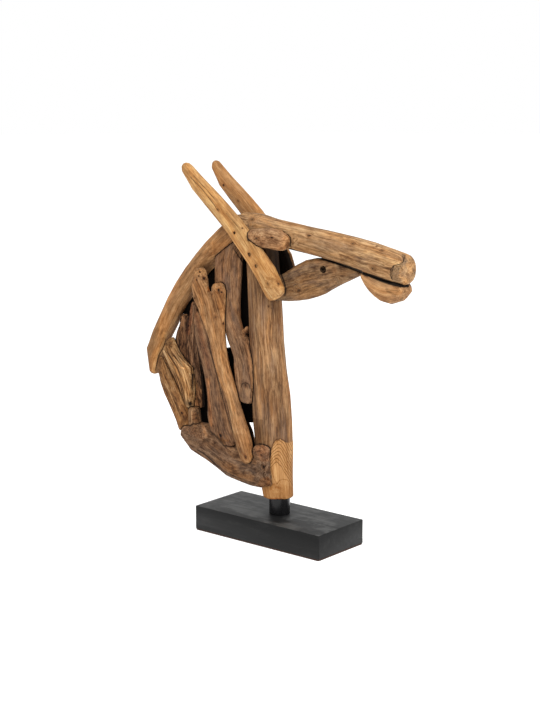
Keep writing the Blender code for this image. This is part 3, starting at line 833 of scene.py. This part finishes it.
def make_tube():
    """The round black tube, with its edges eased."""
    low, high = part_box("tube")
    middle = (low + high) / 2
    outer = (high.x - low.x) / 2
    ease, wall, around_it = 0.0006, 0.003, 96
    profile = [
        (outer - ease, low.z), (outer, low.z + ease), (outer, high.z - ease), (outer - ease, high.z),
        (outer - wall, high.z), (outer - wall, low.z),
    ]
    turns = [2 * math.pi * k / around_it for k in range(around_it)]
    shape = bmesh.new()
    rings = [
        [shape.verts.new((middle.x + radius * math.cos(a), radius * math.sin(a), z)) for a in turns]
        for radius, z in profile
    ]
    for a, b in zip(rings, rings[1:] + rings[:1]):
        for k in range(around_it):
            shape.faces.new((a[k - 1], a[k], b[k], b[k - 1]))
    bmesh.ops.recalc_face_normals(shape, faces=shape.faces)
    mesh = bpy.data.meshes.new("round_tube")
    shape.to_mesh(mesh)
    shape.free()
    smooth_but_for_edges(mesh, degrees=40)
    tube = placed("round_tube", mesh)
    look = Look("black_metal_look")
    drawn = look.stretched(look.add("TexCoord", {}, "Object"), (900, 900, 20), 3, detail=3.0)
    colour = look.mix(drawn, (0.0015, 0.0015, 0.0015, 1), (0.004, 0.004, 0.0045, 1))
    mesh.materials.append(look.surface(colour, look.plus_times(0.2, drawn, 0.08), shine=0.24))
    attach(tube, "root")
    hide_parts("tube")


def dress_pad():
    """The felt pad keeps its CAD shape."""
    look = Look("brown_felt_look")
    hair = look.stretched(look.add("TexCoord", {}, "Object"), (900, 900, 900), 4, detail=6.0)
    colour = look.mix(hair, (0.028, 0.016, 0.012, 1), (0.08, 0.046, 0.034, 1))
    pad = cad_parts["felt_pad"]
    pad.data.materials.clear()
    bump = look.bump(hair, strength=0.6, distance=0.0006)
    pad.data.materials.append(look.surface(colour, roughness=0.95, shine=0.15, bump=bump))


make_camera()
make_studio()

# Each stick: how worn it is, its colours, and the marks that it shows
dress_stick(
    "near_ear",
    "honey_teak",
    dict(voxel=1.3, furrow=0.3, dents=0.4),
    dict(
        dark=(142, 98, 57), middle=(185, 137, 86), light=(220, 176, 118), greyness=0.05, mottle=0.25,
        ring=6.0, ring_depth=0.1, veins=0.35, cracks=0.25, pores=0.3, roughness=0.65, relief=0.35, seed=3,
    ),
    knot_at_groove_end=Knot(217.4, 209.6, 3.0),
    left_knot_of_foot=Knot(267.6, 283.4, 3.4),
    right_knot_of_foot=Knot(278.5, 283.8, 2.8),
    upper_worm_hole=Pit(234.2, 232.8, 3.4, 2.2),
    long_worm_hole=Pit(249.2, 254.4, 3.6, 3.0),
    lower_worm_hole=Pit(255.7, 266.3, 3.0, 3.0),
    pin_hole=Pit(242.4, 228.0, 1.5, 0.6),
    long_groove=Groove(
        ((188.6, 175), (194.3, 181.4), (201.4, 188.6), (207, 195.7), (213.6, 204.3), (216.4, 208.6)),
        1.2,
        1.2,
    ),
    right_groove=Groove(((192, 174), (200, 183), (208, 191.5), (215, 200)), 0.8, 0.7),
    lower_groove=Groove(((225, 212), (232, 220), (239, 228)), 0.8, 0.5),
    pale_ridge=Stroke(((191, 168), (203, 180), (214, 192), (226, 210)), 3.4, (1.14, 1.14, 1.14)),
    # Painted light on the left facet, which faces the light
    pale_left_edge=Stroke(((221, 226), (234, 246), (246, 264), (259, 284)), 3.4, (1.16, 1.16, 1.2)),
    line_beside_it=Stroke(((226, 228), (238, 246), (250, 263), (261, 281)), 0.9, (0.72, 0.64, 0.56)),
    brown_middle=Stroke(((218, 206), (234, 224), (250, 246), (262, 268)), 6.5, (0.84, 0.79, 0.72)),
    brown_under_groove=Stroke(((204, 200), (216, 218), (228, 234)), 5.0, (0.86, 0.8, 0.73)),
    shaded_lower_right_edge=Stroke(((252, 238), (266, 256), (276, 276), (284, 292)), 4.0, (0.86, 0.8, 0.74)),
    spots_over_foot=Stroke(((267, 278), (276, 280), (282, 285)), 4.0, (0.74, 0.66, 0.58)),
    curls_over_foot=Curl(272, 281, 14.0),
    pale_foot=Patch(
        ((259, 283), (266, 288), (276, 288), (284, 287), (284, 298), (268, 298)), (1.05, 1.08, 1.14)
    ),
    foot_edge=Stroke(((259, 282), (264, 287), (272, 288.8)), 0.9, (0.7, 0.6, 0.5)),
)
dress_stick(
    "far_ear",
    "tan_teak",
    dict(furrow=0.3, dents=0.4),
    dict(
        dark=(136, 94, 58), middle=(170, 123, 78), light=(198, 150, 102), greyness=0.1, ring=5.0,
        ring_depth=0.1, veins=0.4, cracks=0.3, relief=0.4, seed=11,
    ),
    knot_over_muzzle=Knot(238.2, 201, 2.6),
    notch=Pit(223.4, 185.6, 2.4, 1.8),
    golden_edge=Stroke(((226, 168), (240, 182), (254, 198), (266, 216)), 3.2, (1.14, 1.1, 1.0)),
    part_in_dark=Gloom(((276, 246), (286, 246), (292.4, 264), (295.6, 272), (280, 280)), 0.985),
    foot_in_dark=Stroke(((289, 249), (296, 266)), 5.0, (0.42, 0.38, 0.34)),
)
dress_stick(
    "muzzle_log",
    "muzzle_teak",
    dict(voxel=1.4, furrow=0.5, dents=0.7),
    dict(
        dark=(122, 85, 54), middle=(182, 138, 94), light=(214, 170, 122), mottle=0.25, ring=4.5,
        ring_depth=0.15, streaks=1.1, veins=0.75, seed=5,
    ),
    curly_knot_at_rear=Knot(252, 219, 4.6),
    curls_at_rear=Curl(252, 219, 20.0),
    curls_beside_brow=Curl(294, 241, 14.0),
    curls_of_crust=Curl(396, 272, 16.0),
    knot_over_brow=Knot(308.8, 235.5, 3.4),
    small_knot_on_top=Knot(352.8, 243.6, 2.6),
    front_knot=Knot(382.2, 250, 2.8),
    speck_before_it=Knot(376.5, 246.2, 2.0),
    ring_on_underside=Knot(372.5, 268.4, 3.8),
    pin_hole=Pit(309.5, 235.8, 1.4, 0.6),
    grey_upper_side=Stroke(((300, 234), (326, 240), (352, 248)), 7.0, (0.84, 0.83, 0.86)),
    dark_streak=Stroke(((308, 240), (328, 246), (346, 252), (360, 259)), 5.0, (0.66, 0.62, 0.6)),
    thin_dark_streak=Stroke(((340, 255), (360, 262), (380, 267), (392, 270)), 2.6, (0.6, 0.54, 0.5)),
    pale_streak=Stroke(((296, 232), (306, 237), (318, 239)), 4.0, (1.14, 1.12, 1.06)),
    pale_lower_streak=Stroke(((322, 243), (346, 255), (366, 262)), 2.4, (1.2, 1.18, 1.14)),
    # Painted shade on the underside, away from the light
    dark_underside=Stroke(((296, 248), (330, 260), (366, 271), (400, 284)), 7.0, (0.84, 0.78, 0.74)),
    golden_side=Stroke(((366, 252), (386, 259), (398, 264)), 7.0, (1.1, 1.06, 0.96)),
    grey_crust=Patch(
        (
            (401, 255), (404, 254), (407.5, 261), (402, 267), (399, 270), (398.5, 276), (403, 283),
            (400, 287), (393, 283), (390, 276), (390.4, 270), (394, 265.5), (400, 264), (403, 261),
        ),
        (0.7, 0.73, 0.8),
    ),
    crust_edge=Seam(
        ((402, 254), (404, 261), (400.5, 264), (393.6, 265.6), (390.4, 270), (390.4, 276), (393, 281)), 0.8
    ),
    shade_before_brow=Stroke(((290, 238), (292.6, 243), (291.6, 249)), 3.0, (0.7, 0.64, 0.58)),
    dark_lower_edge=Seam(((287, 248), (300, 252.2), (317, 257.2), (340, 264)), 1.6),
    crack_over_brow_end=Seam(
        ((262, 228.4), (270, 228.6), (277, 231), (284, 234.6), (289, 239), (290.4, 244.6)), 0.9
    ),
    gap_over_cheek=Gloom(((316, 256.3), (340, 263), (362, 270.4), (362, 274), (316, 261)), 0.97),
    gap_over_chin=Gloom(
        ((356, 269.3), (375, 275.5), (392, 281.3), (403, 285.3), (409, 286.3), (409, 289), (356, 276)), 0.97
    ),
    peach_face=Stroke(((408, 262), (410, 272), (406, 283)), 9.0, (1.24, 1.2, 1.12)),
    crack_at_top_of_rim=Groove(((402, 250), (405.2, 256), (403, 262)), 1.4, 0.8),
    rim_edge=Groove(
        ((402, 263.4), (393.8, 265.9), (391.9, 271), (391.9, 277.4), (393.8, 282.5), (400, 285)), 1.4, 0.9
    ),
    line_above_brow=Groove(((246, 211), (250, 208.5), (255, 208)), 1.0, 0.6),
)
dress_stick(
    "brow_block",
    "brow_teak",
    dict(voxel=1.3, furrow=0.4, dents=0.8),
    dict(
        dark=(116, 78, 50), middle=(173, 127, 88), light=(206, 160, 114), greyness=0.15, mottle=0.6, ring=3.0,
        ring_depth=0.25, pores=0.6, seed=7,
    ),
    curly_knot=Knot(256, 238.5, 4.0),
    curls_at_left=Curl(255, 239, 22.0),
    spot=Pit(271.6, 237.4, 2.0, 0.8),
    second_curl=Knot(262, 243.5, 2.6),
    dark_lower_edge=Seam(((264, 247.6), (274, 250.4), (284, 251.4), (290, 249.6)), 0.9),
    pale_end=Stroke(((272, 246), (283, 248)), 8.0, (1.12, 1.08, 1.02)),
)
dress_stick(
    "cheek_board",
    "cheek_teak",
    dict(voxel=1.3, furrow=0.5, dents=0.6, smooth=12),
    dict(
        dark=(82, 56, 37), middle=(140, 105, 73), light=(174, 136, 98), mottle=0.45, ring=3.6,
        ring_depth=0.2, seed=13,
    ),
    eye=Eye(322.9, 269.6, 7.0),
    warm_ring_round_eye=Stroke(((318, 262), (328, 262), (334, 270)), 8.0, (1.12, 1.03, 0.94)),
    gap_under_muzzle=Gloom(((316, 255), (340, 262), (362, 270), (362, 273), (340, 265.6), (316, 258)), 0.98),
    line_by_ear=Seam(((280, 271), (284.5, 283), (285.8, 289), (284.6, 297)), 1.6),
    grey_knot=Knot(298.6, 290.5, 3.6),
    swirl_at_rear=Curl(297, 288, 16.0),
    swirl_before_eye=Curl(338, 281, 14.0),
    grey_front=Stroke(((338, 283), (350, 277), (358, 272)), 5.0, (0.86, 0.88, 0.92)),
    dark_streak=Stroke(((296, 292), (312, 290), (328, 282)), 3.0, (0.74, 0.72, 0.7)),
)
dress_stick(
    "chin_block",
    "chin_teak",
    dict(voxel=1.3, furrow=0.4, dents=0.9),
    dict(
        dark=(126, 86, 54), middle=(178, 131, 88), light=(206, 160, 112), greyness=0.2, mottle=0.3,
        ring_depth=0.15, seed=17,
    ),
    gap_under_muzzle=Gloom(
        ((356, 266), (409, 284), (409, 287.3), (400, 287.4), (388, 284.4), (372, 278.4), (358, 273)), 0.985
    ),
    grey_streak=Stroke(((386, 289), (394, 295), (402, 300)), 3.0, (0.7, 0.7, 0.72)),
    grey_upper_side=Stroke(((372, 282), (388, 288), (398, 290)), 5.0, (0.92, 0.9, 0.88)),
)
dress_stick(
    "neck_post",
    "post_teak",
    dict(voxel=1.4, furrow=0.7, furrow_width=3.6, dents=0.5, smooth=30),
    dict(
        dark=(90, 61, 40), middle=(139, 100, 67), light=(184, 141, 99), grey=(148, 126, 110), greyness=0.22,
        mottle=0.15, ring=3.4, ring_depth=0.15, pith=(-4.0, 0.0), tilt=0.05, streaks=1.1, veins=0.7, seed=19,
    ),
    small_knot=Knot(268.7, 306.4, 1.8),
    shaved_foot=Shaving(
        (
            (271.4, 450), (273.5, 444), (276.5, 440), (280.5, 439), (284.5, 442), (288, 443), (296, 439),
            (298, 502), (258, 502), (258, 486), (268, 484), (269.4, 470), (269.6, 460),
        ),
        peak=276.2,
        row=464.0,
        spacing=3.7,
    ),
    edge_of_shaved_face=Stroke(
        ((270, 462), (270.8, 450.5), (273, 443.6), (276.4, 439.6), (280.6, 438.6), (285, 441.4)),
        1.3,
        (0.42, 0.34, 0.28),
    ),
    left_side_of_flame=Stroke(
        ((271.4, 467), (273, 475.5), (275.3, 481), (277, 484)), 1.0, (0.66, 0.54, 0.42)
    ),
    right_side_of_flame=Stroke(
        ((277, 484), (279.4, 480.3), (282.5, 479.1), (287, 479.8), (288.5, 481.4)), 1.0, (0.6, 0.48, 0.36)
    ),
    line_down_right=Stroke(
        ((287, 462), (288.4, 471), (289, 481), (289.4, 489), (289, 496)), 1.0, (0.64, 0.52, 0.4)
    ),
    brown_lower_foot=Patch(
        ((256, 486), (272, 487), (280, 484), (298, 488), (298, 502), (258, 502)), (0.9, 0.84, 0.78)
    ),
    curls_of_lower_foot=Curl(277, 489, 15.0),
    red_spot=Stroke(((274, 484), (276, 487), (280, 488)), 3.0, (0.78, 0.66, 0.54)),
    spot_by_wing=Stroke(((270, 478), (271.4, 484), (271, 489)), 3.0, (0.76, 0.64, 0.5)),
    red_end_of_foot=Stroke(((264, 497.5), (272, 499), (280, 499)), 3.0, (0.95, 0.7, 0.55)),
    part_in_dark=Gloom(((258, 244), (282, 244), (282, 278), (274, 272), (262, 254)), 0.8),
    # Painted shadow under the ear's foot
    dark_line_by_ear=Stroke(((262, 284), (264, 290), (269, 297), (280, 299)), 3.0, (0.5, 0.46, 0.42)),
    grey_streak=Stroke(((281, 384), (283, 405), (284, 436)), 3.4, (1.1, 1.14, 1.22)),
    second_grey_streak=Stroke(((288, 380), (289, 410), (290, 432)), 2.4, (1.08, 1.1, 1.16)),
    dark_streak=Stroke(((268, 404), (270, 420), (271, 440)), 2.6, (0.7, 0.68, 0.68)),
    second_dark_streak=Stroke(((276, 398), (277, 418), (277, 436)), 2.0, (0.72, 0.7, 0.72)),
    # Painted light on the right side, and painted shade on the left side and its foot
    golden_right_side=Stroke(((284, 300), (287, 350), (290, 400), (291, 434)), 9.0, (1.16, 1.13, 1.08)),
    dark_left_side=Stroke(((250, 290), (252, 340), (254, 400), (258, 440)), 9.0, (0.82, 0.8, 0.78)),
    dark_left_foot=Patch(((252, 418), (263, 420), (265, 450), (252, 450)), (0.66, 0.62, 0.58)),
)
dress_stick(
    "crest_beam",
    "crest_teak",
    dict(furrow=0.3, dents=0.7),
    dict(
        dark=(108, 71, 40), middle=(162, 116, 74), light=(194, 148, 102), greyness=0.08, ring=6.0,
        ring_depth=0.1, streaks=0.85, mottle=0.35, veins=0.4, cracks=0.2, roughness=0.68, relief=0.35,
        seed=23,
    ),
    pale_strip=Patch(
        (
            (163, 331), (166.4, 333), (166, 339), (164, 345), (161.4, 350), (158.6, 354), (157, 360),
            (155.6, 366), (155, 372), (152, 372), (152, 366), (152.8, 359), (155, 352), (159.4, 343),
        ),
        (1.36, 1.4, 1.34),
    ),
    crack_beside_strip=Seam(
        ((166.5, 337), (164.4, 345), (161.6, 350.4), (159, 355), (157.4, 360.6), (156.2, 366), (155.8, 372)),
        1.0,
    ),
    shade_of_lower_end=Stroke(((158, 322), (151, 345), (150, 362), (151, 369)), 10.0, (0.82, 0.78, 0.72)),
    # Painted shade on the ear seat's facet, and a painted highlight along its edge
    ear_seat=Patch(((213, 243), (222, 226), (236, 232), (234, 246), (213.6, 255)), (0.78, 0.74, 0.7)),
    edge_of_ear_seat=Stroke(((212.4, 242), (212.8, 253)), 1.6, (1.3, 1.26, 1.2)),
    broad_dark_bend=Stroke(((176, 290), (168, 304), (162, 318)), 8.0, (0.86, 0.82, 0.78)),
    # Painted light on the outer edge, and painted shade on the inner edge
    pale_outer_edge=Stroke(((209, 230), (186, 262), (168, 300), (156, 340)), 5.0, (1.16, 1.14, 1.1)),
    dark_inner_edge=Stroke(((208, 262), (194, 290), (180, 318), (170, 340)), 8.0, (0.68, 0.64, 0.6)),
    pale_end=Stroke(((149, 368), (153, 371)), 2.4, (1.3, 1.28, 1.2)),
)
dress_stick(
    "back_stick",
    "back_teak",
    dict(furrow=0.5, dents=0.8),
    dict(
        dark=(74, 46, 24), middle=(145, 102, 63), light=(192, 148, 101), greyness=0.06, mottle=0.45,
        ring_depth=0.15, seed=29,
    ),
    nail_hole=Pit(170.6, 404.6, 1.6, 1.2),
    dark_knot=Pit(182, 413, 2.0, 0.8),
    pale_patch=Stroke(((167, 377), (170, 384)), 5.0, (1.24, 1.26, 1.24)),
    line_by_wedge=Seam(((161.4, 354), (166, 364), (173, 376), (180, 392), (186, 407)), 1.0),
    dark_foot=Stroke(((182, 424), (188, 414), (190, 404)), 7.0, (0.72, 0.68, 0.64)),
)
dress_stick(
    "wing_block",
    "wing_teak",
    dict(furrow=0.9, furrow_width=4.0, dents=1.6, dirt=0.6),
    dict(
        dark=(72, 49, 34), middle=(127, 95, 71), light=(162, 126, 96), greyness=0.35, grey=(122, 104, 90),
        streaks=0.8, mottle=0.75, pores=0.7, cracks=0.6, roughness=0.85, relief=0.9, seed=31,
    ),
    knob_end_grain=Knot(261, 455, 3.4),
    line_under_knob=Stroke(((255, 452), (256.6, 458.6), (262, 461.6), (268.4, 461)), 1.4, (0.7, 0.62, 0.56)),
    hole_under_knob=Pit(263.4, 467.4, 3.2, 3.0),
    second_hole=Pit(265.6, 465.6, 1.8, 1.6),
    knob=Patch(
        ((254.6, 449), (257, 446), (262.5, 444.6), (267.6, 446.6), (270, 452), (269, 461), (260, 461)),
        (1.42, 1.22, 1.08),
    ),
    orange_rim=Stroke(((189, 448), (207, 463), (232, 479.5), (262, 488)), 6.0, (1.44, 1.22, 0.96)),
    golden_lower_side=Stroke(((216, 462), (234, 471), (250, 477)), 12.0, (1.16, 1.08, 0.94)),
    orange_lower_end=Patch(((260, 479), (268, 477), (272, 480), (270, 490), (256, 490)), (1.3, 1.08, 0.85)),
    dark_streak_over_rim=Stroke(((197, 450), (206, 456), (214, 463)), 2.4, (0.5, 0.46, 0.44)),
    second_dark_streak=Stroke(((222, 469), (236, 477), (250, 482)), 2.0, (0.7, 0.66, 0.62)),
    pale_left_end=Stroke(((184, 427), (192, 432), (200, 436)), 9.0, (1.12, 1.06, 1.02)),
    curls_of_left_end=Curl(194, 432, 34.0),
    curls_round_hole=Curl(262, 470, 18.0),
    pale_lump=Stroke(((201, 422), (204, 429), (206, 435)), 3.6, (1.7, 1.6, 1.44)),
    pale_top_edge=Stroke(((182, 429), (186, 426.4), (194, 426), (200, 425)), 4.0, (1.3, 1.3, 1.26)),
    dark_line_over_rim=Seam(((196, 449), (203, 453), (209, 458), (216, 465), (222, 469)), 0.8),
    dark_spots_by_lump=Stroke(((206, 426), (209, 432), (214, 438)), 3.0, (0.62, 0.58, 0.54)),
    # Painted shade in the hollow
    dark_hollow=Stroke(((203, 441), (210, 440)), 3.5, (0.5, 0.47, 0.44)),
    grey_round_hole=Stroke(((258, 466), (262, 474), (268, 474)), 7.0, (0.78, 0.8, 0.84)),
)
dress_stick(
    "split_wedge",
    "wedge_teak",
    dict(voxel=1.2, furrow=0.6, furrow_width=2.6, dents=0.4, smooth=12),
    dict(
        dark=(82, 52, 27), middle=(172, 127, 82), light=(226, 182, 130), greyness=0.05, mottle=0.15, ring=2.6,
        streaks=1.2, cracks=0.7, seed=37,
    ),
    knot_at_top=Knot(171, 343, 3.0),
    nail_hole=Pit(190.4, 403.6, 1.9, 2.0),
    dark_round_nail_hole=Stroke(((188, 401), (191, 405)), 4.0, (0.7, 0.7, 0.72)),
    black_of_nail_hole=Gloom(((189, 402), (191, 401.8), (192, 403.6), (191, 405.4), (189, 405)), 0.92),
    split_under_top_layer=Groove(((173, 354), (177, 359.6), (181, 364.4), (184, 368.4)), 1.2, 1.2),
    second_split=Groove(((176, 352), (181, 358), (186, 363.4), (190.6, 367.6)), 1.1, 1.6),
    third_split=Groove(((177, 349), (183, 355), (188.4, 360.6), (192.6, 366)), 1.1, 1.4),
    split_of_side=Groove(((163, 349), (169, 355), (174, 361)), 1.0, 0.9),
    slot_of_lower_side=Groove(((192.6, 373), (192.4, 382), (192.8, 391)), 1.9, 2.2),
    black_of_slot=Gloom(((191.8, 374), (193.6, 373.4), (193.4, 383), (193.2, 392), (192, 384)), 0.9),
    pale_layer=Stroke(((173.6, 357), (177.2, 363), (180.4, 367.4), (184.6, 368.4)), 1.5, (1.75, 1.66, 1.54)),
    second_pale_layer=Stroke(((173.6, 350), (179, 357), (184, 362.6), (189.6, 367)), 1.2, (1.5, 1.44, 1.34)),
    third_pale_layer=Stroke(((166, 346.4), (171, 350), (177, 355)), 1.3, (1.36, 1.32, 1.26)),
    fourth_pale_layer=Stroke(((164, 351), (169, 357.6), (174, 364)), 1.2, (1.3, 1.26, 1.2)),
    shaded_lower_side=Stroke(((162, 356), (168, 368), (176, 384), (183, 400)), 5.0, (0.86, 0.8, 0.72)),
    warm_body=Stroke(((176, 368), (182, 380), (187, 396)), 8.0, (1.1, 1.04, 0.96)),
    dark_stripe=Stroke(((186, 380), (186.6, 388), (187.6, 395)), 2.0, (0.56, 0.48, 0.42)),
    second_dark_stripe=Stroke(((190.6, 380), (191.6, 388), (192.6, 394)), 2.4, (0.6, 0.54, 0.48)),
    grey_foot=Stroke(((187, 403), (190, 406)), 4.0, (0.6, 0.62, 0.66)),
    # Painted shadow below the foot
    black_foot=Stroke(((187, 411), (195, 411)), 3.0, (0.3, 0.28, 0.26)),
    line_by_board=Seam(((177, 344), (186, 354), (192.6, 364)), 0.9),
)
dress_stick(
    "short_stub",
    "stub_teak",
    dict(voxel=1.2, furrow=0.6, dents=0.8),
    dict(dark=(72, 49, 31), middle=(152, 110, 74), light=(190, 146, 103), greyness=0.15, seed=41),
    rings=Knot(195.8, 417.6, 4.6),
    pale_middle=Stroke(((193, 414), (197, 423)), 7.0, (1.3, 1.25, 1.2)),
    # Painted shadow over the head
    black_head=Stroke(((188, 410.4), (202, 410.4)), 3.4, (0.16, 0.15, 0.14)),
    upper_arc=Stroke(((191.6, 415.4), (196, 414.4), (200, 415.6)), 1.3, (0.5, 0.42, 0.36)),
    lower_arc=Stroke(((192.4, 419.6), (196.6, 418.6), (200.4, 420)), 1.3, (0.5, 0.42, 0.36)),
    # Painted shadow on the right side
    black_right_side=Stroke(((201.6, 411), (202.6, 421)), 3.0, (0.24, 0.21, 0.19)),
    grey_left_edge=Stroke(((190.4, 413), (191, 421)), 1.6, (0.8, 0.8, 0.8)),
)
dress_stick(
    "rotted_board",
    "rotted_teak",
    dict(voxel=1.2, furrow=1.0, furrow_width=2.8, dents=0.8, smooth=10, rot=(2.6, 3.8)),
    dict(
        dark=(40, 25, 16), middle=(92, 63, 44), light=(158, 116, 84), greyness=0.05, mottle=0.15, pores=0.6,
        cracks=0.8, streaks=1.3, roughness=0.9, relief=1.0, seed=43,
    ),
    black_slot_by_wedge=Groove(((193, 371), (193.4, 379), (193.4, 390)), 2.0, 4.0),
    golden_stem=Patch(
        ((194, 386), (195.4, 376), (197.4, 386), (204, 392), (204, 409), (193, 409)), (1.42, 1.3, 1.1)
    ),
    dark_right_side=Gloom(
        (
            (193, 322), (198, 334), (202.6, 352), (206.6, 372), (207, 409), (202, 409), (202.4, 388),
            (199, 362),
        ),
        0.8,
    ),
    dark_middle=Stroke(((186, 322), (190, 340), (196, 362)), 4.0, (0.6, 0.54, 0.5)),
    reddish_top=Stroke(((190, 305), (190, 320), (188, 332)), 7.0, (1.46, 1.14, 0.98)),
    upper_hole=Pit(188.8, 318.0, 1.5, 1.6),
    middle_hole=Pit(188.6, 325.8, 1.3, 1.4),
    lower_hole=Pit(185.8, 330.4, 1.3, 1.4),
    small_hole=Pit(185.6, 345.0, 1.1, 1.0),
    hole_by_slat=Pit(191.4, 333.0, 1.2, 1.2),
)
dress_stick(
    "middle_slat",
    "slat_teak",
    dict(voxel=1.4, furrow=0.7, dents=0.9),
    dict(dark=(76, 51, 35), middle=(127, 92, 66), light=(162, 121, 87), greyness=0.12, mottle=0.5, seed=47),
    golden_edge=Stroke(((207.5, 380), (208.5, 400), (211, 424)), 5.6, (1.44, 1.2, 0.94)),
    knot_at_foot=Knot(213, 426, 3.0),
    hollow_at_foot=Pit(220.4, 435.4, 3.4, 1.2),
    grey_round_hollow=Stroke(((218, 404), (222, 418), (228, 432)), 9.0, (0.9, 0.95, 1.03)),
    reddish_top=Stroke(((196, 312), (202, 340), (208, 366)), 9.0, (1.02, 0.93, 0.9)),
    # Painted shade at the left side of the foot
    dark_left_foot=Stroke(((210, 434), (222, 441), (236, 446)), 4.4, (0.5, 0.47, 0.4)),
    golden_foot=Stroke(((216, 439), (226, 440.4), (236, 442)), 2.4, (1.2, 1.08, 0.86)),
    shadow_of_fork=Seam(((206, 336), (214, 364), (222, 396), (230, 424), (237, 444)), 1.0),
)
dress_stick(
    "fork_slat",
    "fork_teak",
    dict(voxel=1.3, furrow=0.5, dents=1.0),
    dict(
        dark=(106, 70, 42), middle=(171, 123, 80), light=(206, 159, 111), greyness=0.12, mottle=0.3,
        ring_depth=0.15, seed=53,
    ),
    curls_of_left_prong=Curl(200, 274, 17.0),
    pale_head_of_left_prong=Stroke(((194, 274), (200, 271.6), (206, 272)), 6.0, (1.3, 1.3, 1.22)),
    # Painted shade in the recess of the head
    dark_recess_of_head=Stroke(((203, 277), (206, 279)), 3.4, (0.6, 0.54, 0.5)),
    shade_over_head=Stroke(((196, 268), (202, 267), (207, 269)), 2.0, (0.62, 0.58, 0.54)),
    curls_of_right_prong=Curl(218.5, 289, 12.0),
    hollow_of_head=Pit(199.6, 272.2, 2.2, 1.6),
    second_hollow=Pit(204, 278.6, 2.8, 1.6),
    third_hollow=Pit(196.6, 280, 1.6, 1.0),
    fourth_hollow=Pit(198.6, 276, 1.3, 1.0),
    hole_between_prongs=Pit(209.2, 291.4, 2.4, 2.0),
    orange_round_it=Stroke(((208.4, 288), (209, 291)), 2.6, (1.4, 1.0, 0.6)),
    upper_hole_of_right_prong=Pit(218.6, 290, 2.0, 1.2),
    lower_hole_of_right_prong=Pit(221.7, 292.2, 1.9, 1.2),
    knot_of_right_prong=Knot(219, 290.8, 4.4),
    brown_strip_under_it=Patch(
        ((212.4, 293), (216, 291), (223.6, 295), (223.6, 308), (220, 311), (213, 308)), (0.7, 0.62, 0.54)
    ),
    knot_under_prongs=Knot(215.4, 317.2, 2.6),
    dark_knot_by_plank=Pit(223.4, 323.6, 2.3, 0.6),
    darker_body=Stroke(((200, 286), (204, 300), (210, 316)), 9.0, (0.88, 0.84, 0.8)),
    brown_foot=Patch(((234, 434), (248, 434), (258, 462), (250, 466), (240, 460)), (0.8, 0.76, 0.72)),
    grey_foot=Stroke(((240, 449), (245, 457)), 6.0, (0.76, 0.77, 0.8)),
    red_left_edge_of_foot=Stroke(((238, 440), (241, 450), (246, 459)), 1.6, (0.8, 0.64, 0.54)),
    nick_in_left_edge=Pit(192.6, 294.4, 2.2, 1.6),
    pale_strip=Stroke(((206, 290), (214, 330), (222, 370)), 3.0, (1.08, 1.08, 1.06)),
    golden_middle=Stroke(((222, 352), (226, 380), (234, 410)), 5.0, (1.14, 1.08, 0.98)),
    knot_near_foot=Knot(246, 457, 3.0),
    pin_hole_of_foot=Pit(252, 460, 1.5, 0.8),
)
dress_stick(
    "upper_plank",
    "plank_teak",
    dict(voxel=1.4, furrow=0.9, dents=1.0),
    dict(
        dark=(78, 54, 37), middle=(141, 102, 73), light=(180, 136, 97), mottle=0.35, pores=0.6,
        roughness=0.85, relief=0.8, seed=59,
    ),
    broken_knot=Knot(246, 334, 4.0),
    knot_above_end=Knot(245.6, 385.4, 3.8),
    arch_of_that_knot=Seam(((241, 388), (242, 384), (245.6, 382.6), (249, 384), (250, 390)), 0.8),
    grey_lower_end=Stroke(((240, 394), (246, 398)), 6.0, (0.8, 0.82, 0.88)),
    # Painted shadow below the ear's edge
    dark_line_by_ear=Seam(((232, 246), (243, 263), (253, 278), (260, 292)), 1.1),
    dark_line_by_post=Seam(((252.6, 345), (254.4, 362), (254, 378), (254, 392)), 1.0),
    curls_round_broken_knot=Curl(247, 336, 16.0),
    broken_spot_by_ear=Pit(241.6, 258.4, 2.6, 1.4),
    split_in_end=Groove(((251.4, 388), (250.6, 394), (250.8, 399)), 1.2, 3.0),
    grey_upper_side=Stroke(((216, 256), (220, 272), (228, 290)), 9.0, (0.96, 0.96, 1.02)),
    warm_right_side=Stroke(((238, 262), (240, 300), (242, 326)), 5.0, (1.1, 1.04, 0.96)),
)

dress_far_board(
    "far_front_board", voxel=2.0, furrow=0.8,
    dark=(80, 56, 38), middle=(122, 90, 64), light=(150, 114, 84), seed=61,
)
dress_far_board(
    "far_long_slat", voxel=1.8, furrow=0.5,
    dark=(110, 78, 50), middle=(152, 110, 74), light=(182, 138, 98), seed=67,
)
dress_far_board(
    "far_short_slat", voxel=1.8, furrow=0.6,
    dark=(92, 64, 42), middle=(132, 96, 66), light=(160, 120, 86), seed=71,
)
dress_far_board(
    "far_back_slat", voxel=1.8, furrow=0.7,
    dark=(88, 60, 38), middle=(128, 92, 62), light=(160, 120, 86), seed=73,
)

paint_stand()
make_tube()
dress_pad()
